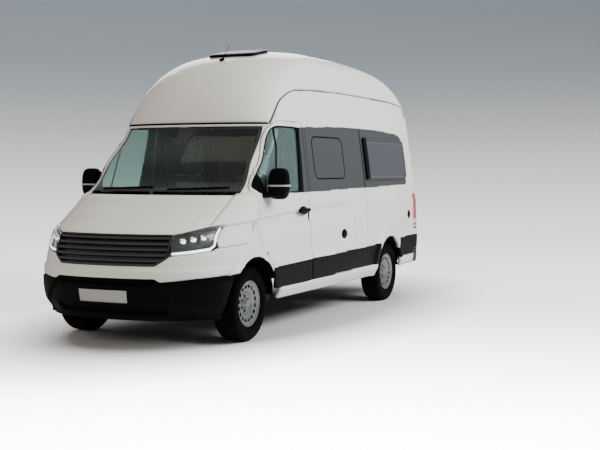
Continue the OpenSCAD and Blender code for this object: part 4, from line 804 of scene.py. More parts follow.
# %% Lights
# Columns: name, place, target, size, power, colour and whether reflections show it
SOFT_BOXES = (
    ("key_light", (-1.5, 9.5, 7.5), (0, 0, 1.2), (11, 5), 2450, (0.95, 0.98, 1.0), False),
    ("nose_light", (11.0, -2.5, 5.0), (1.5, 0, 1.0), (5, 4), 330, (1.0, 0.86, 0.70), False),
    ("top_light", (-0.5, 0, 10.5), (-0.5, 0, 0), (10, 7), 150, (1.0, 0.84, 0.64), False),
    ("rear_light", (-9, -6, 7.0), (0, 0, 1.2), (7, 5), 420, (1, 1, 1), True),
)
WORLD_COLOUR, WORLD_STRENGTH = (0.86, 0.87, 0.87, 1), 0.35


def soft_box(name, place, target, size, power, colour, reflected):
    """Rectangular area light at a place, aimed at a target."""
    lamp = bpy.data.lights.new(name, "AREA")
    lamp.shape, lamp.size, lamp.size_y = "RECTANGLE", *size
    lamp.energy, lamp.color = power, colour
    box = bpy.data.objects.new(name, lamp)
    way = np.array(target, float) - np.array(place, float)
    flat = math.hypot(way[0], way[1])
    box.location = place
    box.rotation_euler = (math.atan2(flat, -way[2]), 0, math.atan2(way[1], way[0]) - math.pi / 2)
    box.visible_glossy = reflected
    bpy.context.scene.collection.objects.link(box)


for row in SOFT_BOXES:
    soft_box(*row)
world = bpy.data.worlds.new("studio_world")
world.use_nodes = True
background = world.node_tree.nodes["Background"]
background.inputs["Color"].default_value = WORLD_COLOUR
background.inputs["Strength"].default_value = WORLD_STRENGTH
bpy.context.scene.world = world
print("lights:", len(bpy.data.lights))

# %% [markdown]
# ## Side walls
# Each wall is one long pressing from the cab door to the rear door. The window band is a dark film on it,
# and the lower band is a moulded strip: here both are zones of the same surface, with edges that follow
# the outline. The wheel opening has a lip that stands out, and a ledge runs along above the lower band.

# %% Side outlines
DOOR_LONG, DOOR_REAR, DOOR_LOW, DOOR_HIGH = 1189.4, FRONT_AXLE - 1297.2, 460, 2108
DOOR_TALL = DOOR_HIGH - DOOR_LOW
CORNER = 50
SEAM_Z, SEAM_TOP, SEAM_FRONT, SEAM_REAR = 2437, 2483, 2076.4, 2305.8
TAIL_X, TAIL_LOW, SKIRT_Z = -2993, 571.5, 392


def shares_outline(rows, place, size):
    """Outline from rows of shares: place plus share times size, and a corner radius as a share of one
    value."""
    r = np.asarray(rows, float)
    return rounded(np.stack([place[0] + r[:, 0] * size[0], place[1] + r[:, 1] * size[1],
                             r[:, 2] * CORNER], 1))


DOOR = shares_outline([[0, 0, 0.6], [0, 1, 0.9], [0.481, 1, 5], [1, 0.575, 0.5], [0.963, 0.52, 1],
                       [0.964, 0.35, 3], [0.948, 0.257, 2.5], [0.785, 0.135, 2], [0.76, 0, 0.6]],
                      (DOOR_REAR, DOOR_LOW), (DOOR_LONG, DOOR_TALL))
DOOR_WINDOW = shares_outline([[0.165, 0.56, 1.2], [0.09, 0.967, 1.2], [0.49, 0.967, 3],
                              [0.955, 0.595, 0.6], [0.92, 0.566, 1]], (DOOR_REAR, DOOR_LOW),
                             (DOOR_LONG, DOOR_TALL))
SEAM = [[1306, SEAM_FRONT, 10], [1085, 2325, 420], [860, SEAM_Z, 600], [367, 2464, 400],
        [-465, SEAM_TOP, 400], [-2132, 2467, 300], [-2603.9, SEAM_Z, 100], [-2738.6, SEAM_REAR, 50]]
SILL, BUMPER_SIDE = 345, -2700
WALL = rounded(SEAM + [[TAIL_X, SEAM_REAR, 1], [TAIL_X, TAIL_LOW, 1], [BUMPER_SIDE, TAIL_LOW, 1],
                       [BUMPER_SIDE, SKIRT_Z, 50], [REAR_AXLE, SKIRT_Z, 1], [REAR_AXLE, SILL, 1],
                       [FRONT_AXLE - ARCH_RADIUS, SILL, 1], [FRONT_AXLE - ARCH_RADIUS, DOOR_LOW, 1],
                       [DOOR_REAR + 50, DOOR_LOW, 1], [DOOR_REAR + 50, SEAM_FRONT, 1]])
WINDOW_LOW, WINDOW_HIGH = 1508, 1971
REAR_WINDOW = rectangle(-2490, -1003, WINDOW_LOW, WINDOW_HIGH, 60)
SLIDE_WINDOW = rectangle(-374, 539, WINDOW_LOW, WINDOW_HIGH, 80)
SLIDE_DOOR = rounded([[664, DOOR_LOW, 50], [664, DOOR_HIGH, 100], [-569, DOOR_HIGH, 100],
                      [-569, DOOR_LOW, 50]])
FILM_BAND = rounded([[850, 1379, 4], [850, 2056, 4], [-300, 2096, 60], [-1500, 2096, 200],
                     [-2250, 2066, 200], [-2470, 2030, 90], [-2510, 1418, 50]])
DOOR_FILM = rounded([[600, 1379, 4], [600, 2054, 4], [752, 2054, 2], [812, 1379, 2]])
LOW_BAND = rounded([[1640, 450, 4], [1640, 668, 4], [-1300, 724, 4], [-1300, 487, 4]])
REAR_LOW_BAND = rounded([[-2010, 504, 4], [-2010, 750, 4], [-2905, 766, 4], [-2905, 512, 4]])


def lower_bands(point):
    """Field of the dark bands before and behind the rear wheel."""
    return np.minimum(outline_distance(point, LOW_BAND), outline_distance(point, REAR_LOW_BAND))


FLARE, FLARE_REACH, FLARE_RUN = 27, 112, 26
LIP, LIP_RUN = 5, 30
LEDGE, LEDGE_Z, LEDGE_SLOPE, LEDGE_RUN, LEDGE_CLEAR = 17, 742, 0.019, 26, 90
CREASE_DEPTH, CREASE_RUN, CREASE_TALL, CREASE_FULL = -32, 20, 240, 1.1
CREASE_END, CREASE_FADE, CREASE_CLEAR, CREASE_LAP = -900, 700, 60, 20
TUCK, TUCK_Z, TUCK_RUN = -20, 450, 90
CREASE = np.array([[CREASE_END, 1250], [867, 1194], [1846, 1146], [2371, 1105], [2700, 1080]])


def side_relief(point):
    """How far the pressing stands out: a flare round each wheel opening with a lip at its edge, a ledge
    above the lower band, a shoulder crease that starts at the lamp and fades away towards the rear, and a
    sill that turns under."""
    x, z = point[..., 0], point[..., 2]
    front, rear = np.hypot(x - FRONT_AXLE, z - AXLE_HEIGHT), np.hypot(x - REAR_AXLE, z - AXLE_HEIGHT)
    near = np.minimum(front, rear) - ARCH_RADIUS
    lip = FLARE * eased((FLARE_REACH - near) / FLARE_RUN) + LIP * eased(1 - near / LIP_RUN)
    ledge = LEDGE * eased((LEDGE_Z - LEDGE_SLOPE * (x - FRONT_AXLE) - z) / LEDGE_RUN + 0.5)
    below = np.interp(x, CREASE[:, 0], CREASE[:, 1]) - z
    step = CREASE_DEPTH * eased(below / CREASE_RUN + 0.5) * eased(CREASE_FULL - below / CREASE_TALL)
    crease = step * eased((x - CREASE_END) / CREASE_FADE) * eased((near + CREASE_LAP) / CREASE_CLEAR)
    tuck = TUCK * eased((TUCK_Z - z) / TUCK_RUN)
    return lip + ledge * eased(0.5 + near / LEDGE_CLEAR) + crease + tuck


print("side outlines:", len(WALL), "wall points,", len(DOOR), "door points")

# %% [markdown]
# A wall wraps from the rear corner to the cab. One grid follows both: its first part goes round the
# corner by angle and the rest runs along the side by place, so the corner has no seam.

# %% Side walls
WALL_THICK, DOOR_THICK, PANE_THICK, PANE_DEEP = 40, 16, 4, 14
LAMP_SIDE = 100
LAMP_PATCH = rectangle(-75, LAMP_SIDE, 876, 1293, 24)
OPENING_Y = 797
WALL_END = 1412


def on_wall(p, z, t=0):
    """Left wall: p from -1 to 0 goes round the rear corner, from the door opening to the side, and p from
    0 to 1 goes along the side to the cab."""
    _, _, _, rear, tail = level(z)
    wide = half_width(rear + tail, z) * taper(rear + tail)
    first = np.degrees(np.arcsin(np.minimum(1, OPENING_Y / wide) ** (PLAN_POWER / 2)))
    round_corner = on_tail(first + (90 - first) * np.clip(p + 1, 0, 1), z, t)
    x = rear + tail + (WALL_END - rear - tail) * np.clip(p, 0, 1)
    return np.where((p < 0)[..., None], round_corner, on_side(x, z, t))


def off_tail_lamp(point):
    """Field that keeps the metal outside the tail lamp, read by place from the start of the rear
    corner."""
    _, _, _, rear, tail = level(point[..., 2])
    flat = np.stack([point[..., 0] - rear - tail, point[..., 1], point[..., 2]], -1)
    return 3 - outline_distance(flat, LAMP_PATCH)


wall_cuts = [within(WALL), outside(DOOR, SHUT_GAP), off_wheel(REAR_AXLE), outside(REAR_WINDOW),
             off_tail_lamp]
wall_columns = np.concatenate([np.linspace(-1, 0, 13)[:-1], np.linspace(0, 1, 170)])
wall_rows = np.concatenate([np.linspace(SILL, SKIRT_Z, 4)[:-1], np.linspace(SKIRT_Z, TAIL_LOW, 11)[:-1],
                            np.linspace(TAIL_LOW, SEAM_TOP + 2, 112)])
side_finishes = [PAINT, FILM, BAND]


def side_zone(zones):
    """Finish of each triangle: 1 in the window band, 2 in a lower band, and else 0."""
    return np.where(zones[1], 2, np.where(zones[0], 1, 0))


for side, extra in (("left", []), ("right", [outside(SLIDE_DOOR, SHUT_GAP)])):
    points, tris, zones = cut_panel(on_wall, wall_columns, wall_rows, wall_cuts + extra,
                                    [within(FILM_BAND), lower_bands], side_relief)
    if side == "right":
        points, tris = mirrored(points, tris)
    make_piece("wall_panel_" + side, points, tris, side_finishes, "body", ["side_wall_" + side],
               "white_paint", side_zone(zones), wall=WALL_THICK, lining=LINING)
print("wall triangles", piece_log["wall_panel_left"], piece_log["wall_panel_right"])

# %% [markdown]
# The sliding door hangs in the right wall. A subdivided cage could make it, but cut from the same skin it
# keeps an even gap, and its bands stay in line with the wall's.

# %% Sliding door
points, tris, zones = cut_panel(on_side, np.linspace(-580, 680, 72),
                                np.linspace(DOOR_LOW - 10, DOOR_HIGH + 10, 92),
                                [within(SLIDE_DOOR), outside(SLIDE_WINDOW)],
                                [within(FILM_BAND), lower_bands], side_relief)
make_piece("slide_panel", *mirrored(points, tris), side_finishes, "body", ["sliding_door"], "white_paint",
           side_zone(zones), wall=WALL_THICK, lining=LINING)
print("sliding door triangles", piece_log["slide_panel"])

# %% [markdown]
# ## Cab doors
# A cab door is the same skin, trimmed to its own outline, so that the gap to the wing and the wall is
# even all round. The window opening is a second outline inside it, and the pane lies a little deeper than
# the metal.

# %% Cab doors and their glass
DOOR_POST = rounded([[700, 1379, 2], [700, 2056, 2], [850, 2056, 2], [920, 1379, 2]])
points, tris, zones = cut_panel(on_side, np.linspace(DOOR_REAR - 8, DOOR_REAR + DOOR_LONG + 8, 126),
                                np.linspace(DOOR_LOW - 8, DOOR_HIGH + 8, 150),
                                [within(DOOR), outside(DOOR_WINDOW)],
                                [within(DOOR_POST), lower_bands, within(DOOR_FILM)], side_relief)
door_zone = np.where(zones[2], 3, side_zone(zones))
glass_points, glass_tris, _ = cut_panel(lambda x, z, t=0: on_side(x, z, t + PANE_DEEP),
                                        np.linspace(DOOR_REAR + 60, DOOR_REAR + 1160, 56),
                                        np.linspace(1370, 2066, 40), [within(DOOR_WINDOW, -1)], dip=0.0)
for side, turn in SIDES:
    make_piece("cab_door_panel_" + side, *turn(points, tris), [PAINT, TRIM, BAND, FILM],
               "cab_door_" + side, ["cab_door_" + side], "white_paint", door_zone, wall=DOOR_THICK,
               lining=DASH)
    make_piece("cab_pane_" + side, *turn(glass_points, glass_tris), [DOOR_GLASS], "cab_door_" + side,
               ["cab_glass_" + side], "clear_glass", wall=PANE_THICK)
print("cab door triangles", piece_log["cab_door_panel_left"])

# %% [markdown]
# ## Nose
# The nose is a stack of bands round the front: bumper, painted strip, grille with the lamps, and the
# bonnet on top. Each edge between two bands is a short table of height by angle from the middle, so that
# the pieces on both sides of a joint read the same line and the joint stays even.

# %% Edges of the nose bands
BUMPER_EDGE = np.array([[0, 648], [24.7, 648], [28.1, 618], [48, 645], [77, 668], [90, 672]])
STRIP_EDGE = np.array([[0, 758], [24.7, 758], [31.5, 828], [32.3, 843], [43, 858], [60, 886], [62.5, 906],
                       [90, 932]])
LAMP_EDGE = np.array([[0, 1022], [31.5, 1027], [48, 1086], [62.5, 1106], [90, 1124]])
LAMP_A = (32.4, 62.3)
BONNET_REAR = 1375
BONNET_SIDE = (54.0, 50.5)
BUMPER_LOW = 265
JOINT = 3


def edge_height(table, a):
    """Height of a band's edge at a degrees from the middle, on straight lines between the rows of its
    table."""
    return np.interp(np.abs(a), table[:, 0], table[:, 1])


def between(low, high, share):
    """Value a share of the way from low to high."""
    return low + (high - low) * share


def nose_surface(angles, low, high, rows, t=0):
    """Grid of points on the nose between two edges, as whole arrays, and its faces turned outwards."""
    share = np.linspace(0, 1, rows)
    a = np.broadcast_to(np.asarray(angles)[:, None], (len(angles), rows))
    z = between(low(a), high(a), share[None, :])
    points = on_nose(a, z, t).reshape(-1, 3)
    return points, grid_faces(len(angles), rows)[:, ::-1]


def facing(points, faces, centre):
    """Quads turned to look away from a centre point."""
    a, b, c = (points[faces[:, k]] for k in (0, 1, 3))
    away = (np.cross(b - a, c - a) * (a - np.asarray(centre))).sum()
    return faces if away > 0 else faces[:, ::-1]


print("nose joint heights at the middle:", BUMPER_EDGE[0, 1], STRIP_EDGE[0, 1], LAMP_EDGE[0, 1])

# %% [markdown]
# ## Bonnet
# The bonnet's side edges run from near the corners of the windscreen forward over the lamps. A grid whose
# width changes with every row follows those edges exactly, so nothing has to be trimmed.

# %% Bonnet
BONNET_GAP = 7
FOLD_OUT, FOLD_AT, FOLD_WIDE, FOLD_START = 7, (0.80, 0.84), 0.05, 0.15
ROLL, ROLL_FROM, ROLL_SHARE = 4.0, 0.985, 0.015
BONNET_GRID = (101, 42)


def on_bonnet(across, up, t=0):
    """Bonnet: across from -1 to 1 between its side edges, whose angle changes from the rear to the front,
    and up from 0 at the lamps to 1 at the windscreen."""
    a = across * between(BONNET_SIDE[1], BONNET_SIDE[0], up)
    z = between(edge_height(LAMP_EDGE, a) + BONNET_GAP, BONNET_REAR, up)
    from_fold = (np.abs(across) - between(*FOLD_AT, up)) / FOLD_WIDE
    return on_nose(a, z, t - FOLD_OUT * np.exp(-from_fold ** 2) * eased(up / FOLD_START))


across, up = np.meshgrid(np.linspace(-1, 1, BONNET_GRID[0]), np.linspace(0, 1, BONNET_GRID[1]),
                         indexing="ij")
roll = ROLL * (eased((np.abs(across) - ROLL_FROM) / ROLL_SHARE) + eased((up - ROLL_FROM) / ROLL_SHARE)
               + eased((ROLL_SHARE - up) / ROLL_SHARE))
bonnet_points = on_bonnet(across, up, roll).reshape(-1, 3)
bonnet_faces = facing(bonnet_points, grid_faces(*BONNET_GRID), (1800, 0, 900))
make_piece("bonnet_panel", bonnet_points, bonnet_faces, [PAINT], "bonnet", ["bonnet"], "white_paint",
           wall=14)
print("bonnet quads", piece_log["bonnet_panel"])

# %% [markdown]
# ## Wings, painted strip and bumper
# The wing fills what the bonnet, the lamp, the door and the wheel opening leave. The strip below it
# belongs to the bumper moulding but is painted; the bumper itself is grained black plastic with a recess
# for a blank plate.

# %% Wings
DEGREE = 12
BONNET_LOW, BONNET_CLEAR, LAMP_CLEAR = 1095, 0.45, 0.5
NOSE_END, WING_TOP = 88, 1392


def off_bonnet(point):
    """Field that keeps the wing outside the bonnet: the edge's angle at each height less the point's, in
    millimetres by a degree's length."""
    up = (point[..., 2] - BONNET_LOW) / (BONNET_REAR - BONNET_LOW)
    edge = between(BONNET_SIDE[1], BONNET_SIDE[0], np.clip(up, 0, 1)) + BONNET_CLEAR
    return (edge - nose_angle(point)) * DEGREE


def off_lamp(point):
    """Field that keeps the wing off the lamp: positive ahead of the lamp's end and under its upper
    edge."""
    a = nose_angle(point)
    return np.minimum((LAMP_A[1] + LAMP_CLEAR - a) * DEGREE,
                      edge_height(LAMP_EDGE, a) + JOINT - point[..., 2])


def over_strip(point):
    """Field that keeps what is above the painted strip, which ends where the nose becomes the side."""
    a = nose_angle(point)
    return np.minimum((NOSE_END - a) * DEGREE, edge_height(STRIP_EDGE, a) + JOINT - point[..., 2])


points, tris, zones = cut_panel(on_side, np.linspace(1500, 2500, 106), np.linspace(462, 1394, 98),
                                [off_bonnet, off_lamp, over_strip, outside(DOOR, SHUT_GAP),
                                 off_wheel(FRONT_AXLE), lambda point: point[..., 2] - WING_TOP],
                                [lower_bands], side_relief)
make_piece("wing_panels", *paired(points, tris), [PAINT, BAND], "body", ["front_wings"], "white_paint",
           np.tile(zones[0].astype(int), 2), wall=8)
print("wing triangles", piece_log["wing_panels"])

# %% [markdown]
# The strip over the bumper is painted like the body. It lies between two edges that are read from tables,
# so a grid of angle and share fits it, and only the wheel opening has to be cut.

# %% Painted strip
strip_angles = np.linspace(-NOSE_END, NOSE_END, 181)


def on_strip(a, up, t=0):
    """Painted strip at angle a, from the bumper's edge to the grille's."""
    return on_nose(a, between(edge_height(BUMPER_EDGE, a) + JOINT, edge_height(STRIP_EDGE, a), up), t)


points, tris, _ = cut_panel(on_strip, strip_angles, np.linspace(0, 1, 15), [off_wheel(FRONT_AXLE)],
                            relief=side_relief)
make_piece("painted_strip", points, tris, [PAINT], "body", ["fascia"], "white_paint", wall=25)
print("strip triangles", piece_log["painted_strip"])

# %% [markdown]
# The bumper is one thick moulding. Its slot and its lower intake could be cut with booleans. Here a
# relief sinks them, so that their edges are soft, as a mould makes them.

# %% Bumper
CORNER_CREASE, CORNER_Z = (25.6, 0.08), 596
SLOT_DEEP, SLOT_END, SLOT_LOW, SLOT_HIGH = -40, 25, 588, 654
INTAKE_DEEP, INTAKE_END, INTAKE_LOW, INTAKE_HIGH = -36, 600, 318, 408
CORNER_OUT, CORNER_RUN, CORNER_END, CORNER_TOP = 25, 36, 84, 640
CHIN_OUT, CHIN_Z, CHIN_END = 10, 330, 900


def on_bumper(a, up, t=0):
    """Bumper at angle a, from its lower edge to the painted strip."""
    return on_nose(a, between(BUMPER_LOW, edge_height(BUMPER_EDGE, a), up), t)


def bumper_relief(point):
    """Bumper moulding: a sunk slot under the painted strip, a sunk lower intake, and corners that stand
    out from a slanted crease, all with eased edges."""
    y, z = np.abs(point[..., 1]), point[..., 2]
    a = nose_angle(point)
    slot = SLOT_DEEP * eased((SLOT_END - a) * DEGREE / 20) * eased((z - SLOT_LOW) / 12)
    slot = slot * eased((SLOT_HIGH - z) / 10)
    intake = INTAKE_DEEP * eased((INTAKE_END - y) / 50) * eased((z - INTAKE_LOW) / 14)
    intake = intake * eased((INTAKE_HIGH - z) / 14)
    past = (a - CORNER_CREASE[0] - (CORNER_Z - z) * CORNER_CREASE[1]) * DEGREE
    bulge = CORNER_OUT * eased(past / CORNER_RUN) * eased((CORNER_END - a) / 22)
    bulge = bulge * eased((CORNER_TOP - z) / 30)
    chin = CHIN_OUT * eased((CHIN_Z - z) / 30) * eased((CHIN_END - y) / 80)
    return slot + intake + bulge + chin


points, tris, _ = cut_panel(on_bumper, np.linspace(-NOSE_END, NOSE_END, 241), np.linspace(0, 1, 56),
                            [off_wheel(FRONT_AXLE)], relief=bumper_relief, dip=3.0)
make_piece("bumper_moulding", points, tris, [MOULDED], "body", ["front_bumper"], "black_plastic", wall=30)
print("bumper triangles", piece_log["bumper_moulding"])

# %% [markdown]
# ## Grille and lamps
# The grille is five rounded bars in a frame in front of a dark back. A bar is one small profile carried
# along the nose's own curve. Each lamp is a clear lens over a dark bowl, with a bright light strip along
# its lower and outer edge.

# %% Bars and strips


BEAD_SIDES, BEAD_PROBE, BEAD_STEP, PROFILE_POWER = 8, 5.0, 14, 2.6


def rings_along(path, across, out, profile):
    """Rings of a profile along a path: each is the path's point plus the profile's two columns along the
    path's across and out directions."""
    return path[:, None] + profile[None, :, :1] * across[:, None] + profile[None, :, 1:] * out[:, None]


def carried(path, across, out, profile):
    """Profile carried along a path: a tube's points and quads, with each end closed by a ring of one
    place."""
    rings = rings_along(path, across, out, profile)
    ends = np.broadcast_to(path[[0, -1], None], (2, *rings.shape[1:]))
    rings = np.concatenate([ends[:1], rings, ends[1:]])
    points = rings.reshape(-1, 3)
    faces = grid_faces(len(rings), profile.shape[0], closed=True)
    return points, facing(points, faces, path.mean(0))


def round_profile(wide, tall, count=10):
    """Closed superellipse: signed powers of the cosine and the sine, as wide and tall as asked."""
    w = np.linspace(0, 2 * math.pi, count + 1)[:-1]
    c, s = np.cos(w), np.sin(w)
    return np.stack([wide / 2 * bent(c, 2 / PROFILE_POWER), tall / 2 * bent(s, 2 / PROFILE_POWER)], 1)


def unit(v):
    """Vectors scaled to length one."""
    return v / np.maximum(np.linalg.norm(v, axis=-1, keepdims=True), TINY)


def along_nose(a, z, t):
    """Path on the nose with its across direction, which is up the skin, and its out direction."""
    path = on_nose(a, z, t)
    out = unit(on_nose(a, z, t - BEAD_PROBE) - path)
    way = unit(np.gradient(path, axis=0))
    return path, unit(np.cross(out, way)), out


def nose_bead(a, z, t, wide, tall):
    """Round bead along the nose at angles a, at one height or one for each angle, t under the skin."""
    return carried(*along_nose(a, np.broadcast_to(z, a.shape), t), round_profile(wide, tall))


def gather(shapes):
    """Several shapes of points and quads as one."""
    counts = np.cumsum([0] + [len(p) for p, _ in shapes])
    faces = np.concatenate([f + c for (_, f), c in zip(shapes, counts)])
    return np.concatenate([p for p, _ in shapes]), faces


GRILLE_ANGLE, GRILLE_LOW_ANGLE, GRILLE_TOP, GRILLE_DEEP = 31.2, 24.7, 1037.0, 48
BAR_STEPS, END_STEPS = 61, 21
FRAME_SIZE = (15, 22)
grille_a = np.linspace(-GRILLE_ANGLE, GRILLE_ANGLE, BAR_STEPS)


def bar_angles(z):
    """Angles of a bar at height z, which ends where the grille's lower corner is cut off."""
    return np.linspace(-1, 1, BAR_STEPS) * np.interp(z, [758, 828], [24.0, GRILLE_ANGLE - 0.6])


bar_heights = np.linspace(806, 1004, 5)
bars = [nose_bead(bar_angles(z), z, 16, 28, 34) for z in bar_heights]
low_a = np.concatenate([[-GRILLE_ANGLE], np.linspace(-GRILLE_LOW_ANGLE, GRILLE_LOW_ANGLE, BAR_STEPS - 2),
                        [GRILLE_ANGLE]])
frame_low = nose_bead(low_a, edge_height(STRIP_EDGE, low_a) + 13, 6, 18, 22)
frame_high = nose_bead(grille_a, 1031.0, 8, *FRAME_SIZE)
frame_z = np.linspace(838, 1035, END_STEPS)
frame_ends = [nose_bead(np.full(END_STEPS, s * GRILLE_ANGLE), frame_z, 8, *FRAME_SIZE) for s in (-1, 1)]
grille_back = nose_surface(grille_a, lambda a: edge_height(STRIP_EDGE, a) + 6,
                           lambda a: np.full_like(a, GRILLE_TOP), 5, t=GRILLE_DEEP)
make_piece("grille_bars", *gather(bars + [frame_low, frame_high] + frame_ends + [grille_back]), [GLOSS],
           "body", ["grille"], "gloss_black")
print("grille quads", piece_log["grille_bars"])

# %% [markdown]
# Lens and bowl of a lamp are the same piece of skin at two depths, and a rim joins them, so that no light
# leaks in between. The strip of light is a bead that turns up at its end.

# %% Headlamps
LENS_DEEP, BOWL_DEEP, RIM_DEEP = 1, 46, 7
LAMP_STEPS, LAMP_ROWS, RIM_STEPS, RIM_ROWS = 36, 16, 4, 12
lamp_a = np.linspace(*LAMP_A, LAMP_STEPS)


def lamp_low(a):
    """Lower edge of the lamp's lens."""
    return edge_height(STRIP_EDGE, a) + JOINT


def lamp_top(a):
    """Upper edge of the lamp's lens."""
    return edge_height(LAMP_EDGE, a) - 1


lens = nose_surface(lamp_a, lamp_low, lamp_top, LAMP_ROWS, t=LENS_DEEP)
make_piece("lamp_lenses", *paired(*lens), [LENS], "body", ["headlamp_lenses"], "clear_glass",
           wall=PANE_THICK)
bowl = nose_surface(lamp_a, lamp_low, lamp_top, LAMP_ROWS, t=BOWL_DEEP)
reach = RIM_DEEP + (BOWL_DEEP - RIM_DEEP) * np.linspace(0, 1, RIM_STEPS)[None, :]
lamp_rim = []
for edge in (lamp_low, lamp_top):
    rim = on_nose(lamp_a[:, None], edge(lamp_a)[:, None], reach)
    lamp_rim.append((rim.reshape(-1, 3), grid_faces(LAMP_STEPS, RIM_STEPS)))
for end in LAMP_A:
    z = np.linspace(lamp_low(end), lamp_top(end), RIM_ROWS)
    rim = on_nose(np.full((RIM_ROWS, 1), end), z[:, None], reach)
    lamp_rim.append((rim.reshape(-1, 3), grid_faces(RIM_ROWS, RIM_STEPS)))
make_piece("lamp_bowls", *paired(*gather([bowl] + lamp_rim)), [REFLECTOR], "body", ["headlamp_units"],
           "lamp_inside", wall=1)
STRIP_END = 60.6
strip_a = np.concatenate([np.linspace(33.6, 57.5, 30), np.linspace(58, 60.2, 8), np.full(10, STRIP_END)])
strip_z = np.concatenate([lamp_low(strip_a[:30]) + 20, lamp_low(strip_a[30:38]) + np.linspace(21, 40, 8),
                          np.linspace(lamp_low(STRIP_END) + 46, lamp_top(STRIP_END) - 22, 10)])
light_strip = nose_bead(strip_a, strip_z, 14, 18, 12)
make_piece("lamp_light_strips", *paired(*light_strip), [LIGHT_STRIP], "body", slot="lamp_inside")
print("lamp pieces:", [name for name in piece_log if name.startswith("lamp")])

# %% [markdown]
# ## Windscreen and its frame
# The frame is the painted pillar on each side and the header over the glass. The glass lies just under
# the skin; its printed black border hides the glue line, and it is a zone of the same surface.

# %% Pillars and windscreen
SCREEN_LOW, SCREEN_HIGH, SCREEN_ANGLE, HEADER_TOP = 1404.5, 2050.0, 57.0, 2074.0
SCREEN_DEEP, DEGREES_BY_MM = 9.0, 0.12


def off_screen(point):
    """Field that keeps the frame outside the windscreen: its side edge in degrees and its top edge."""
    return np.minimum(SCREEN_ANGLE - nose_angle(point), (SCREEN_HIGH - point[..., 2]) * DEGREES_BY_MM)


pillar_a = np.concatenate([np.linspace(0, 52, 27)[:-1], np.linspace(52, 90, 90)])
points, tris, _ = cut_panel(on_nose, pillar_a, np.linspace(1394, HEADER_TOP, 110),
                            [off_screen, outside(DOOR, SHUT_GAP)])
make_piece("pillar_frame", *paired(points, tris), [PAINT], "body", ["cab_frame"], "white_paint", wall=9,
           lining=DASH)

BORDER, BORDER_LOW, BORDER_HIGH = 26, 40, 24
BAY_HALF, BAY_TALL = 95, 190


def screen_clear(point):
    """Field of the clear part of the glass: inside the printed border, with a bay for the sensors at the
    top."""
    y, z = np.abs(point[..., 1]), point[..., 2]
    edge = np.abs(on_nose(np.full_like(z, SCREEN_ANGLE), z)[..., 1]) - BORDER - y
    bay = np.maximum(y - BAY_HALF, 0) - np.maximum(SCREEN_HIGH - BAY_TALL - z, 0) * 2
    open_glass = np.minimum(np.minimum(edge, z - SCREEN_LOW - BORDER_LOW), SCREEN_HIGH - BORDER_HIGH - z)
    return -np.where((y < BAY_HALF) & (z > SCREEN_HIGH - BAY_TALL), bay - 1, open_glass)


points, tris, zones = cut_panel(on_nose, np.linspace(-SCREEN_ANGLE + 0.25, SCREEN_ANGLE - 0.25, 91),
                                np.linspace(SCREEN_LOW + 1, SCREEN_HIGH - 2, 40), [], [screen_clear],
                                relief=lambda point: np.full(point.shape[:-1], -SCREEN_DEEP))
make_piece("windscreen_pane", points, tris, [GLOSS, CLEAR_GLASS], "body", ["windscreen"], "clear_glass",
           zones[0].astype(int), wall=5)
print("windscreen triangles", piece_log["windscreen_pane"])

# %% [markdown]
# ## High roof
# The roof is one big laminated moulding over the cab and the living space. It is the closed ring of the
# skin at each height, and the heights are spaced by the length of the profile, because the crown is
# almost flat.

# %% Roof shell
ROOF_LOW, FAR, BELOW = 2040, 3300, 1000
STEP_DEEP, STEP_RUN = 6.0, 26
ROOF_UNDER = rounded(SEAM + [[-FAR, SEAM_REAR, 1], [-FAR, BELOW, 1], [FAR, BELOW, 1],
                             [FAR, SEAM_FRONT, 1]])


def height_at(share):
    """Height at a share of the roof's profile: the length of the curve of half width and height, turned
    round."""
    z = np.concatenate([np.linspace(ROOF_LOW, 0.99 * HEIGHT, 300),
                        np.linspace(0.99 * HEIGHT, HEIGHT - 0.2, 200)[1:]])
    run = np.hypot(np.diff(level(z)[1]), np.diff(z))
    length = np.concatenate([[0], np.cumsum(run)])
    return np.interp(share, length / length[-1], z)


def on_ring(s, share, t=0):
    """Left half of the body's ring at a height: s from 0 to 1 on the nose, to 2 along the side and to 3
    on the tail. The inset also lowers the crown."""
    z = height_at(share)
    front, _, nose, rear, tail = level(z)
    x = between(front - nose, rear + tail, np.clip(s - 1, 0, 1))
    on = np.where((s < 1)[..., None], on_nose(90 * np.clip(s, 0, 1), z, t), on_side(x, z, t))
    on = np.where((s > 2)[..., None], on_tail(90 * np.clip(3 - s, 0, 1), z, t), on)
    drop = np.broadcast_to(t, z.shape) * eased((z - 0.93 * HEIGHT) / (0.06 * HEIGHT))
    return on - drop[..., None] * np.array([0, 0, 1])


ring_s = np.concatenate([np.linspace(0, 1, 37)[:-1], np.linspace(1, 2, 79)[:-1], np.linspace(2, 3, 33)])


def roof_relief(point):
    """Roof moulding: a shallow step that runs round above the seam."""
    return -STEP_DEEP * eased(1 - outline_distance(point, ROOF_UNDER) / STEP_RUN)


points, tris, _ = cut_panel(on_ring, ring_s, np.linspace(0, 1, 64), [outside(ROOF_UNDER, 3)],
                            relief=roof_relief, dip=4.0)
make_piece("roof_shell", *paired(points, tris), [PAINT], "body", ["high_roof"], "white_paint", wall=34,
           lining=LINING)
print("roof triangles", piece_log["roof_shell"])

# %% [markdown]
# ## Tail
# Two tall doors close the tail, with a lamp round each corner and a step bumper below. A door is a grid
# of width and height on the tail's curve.

# %% Rear doors
REAR_DOOR = (3.5, 790, 572, 2296)
BACK_DOOR = rectangle(*REAR_DOOR, 26)
BACK_WINDOW = rectangle(111, 695, WINDOW_LOW, WINDOW_HIGH, 50)
DOOR_PANEL, PANEL_OUT = rectangle(70, 720, 700, 1400, 60), 7
WINDOW_FIELD, FIELD_OUT = rectangle(50, 735, 1450, 2060, 70), 5
ACROSS = (1, 2)


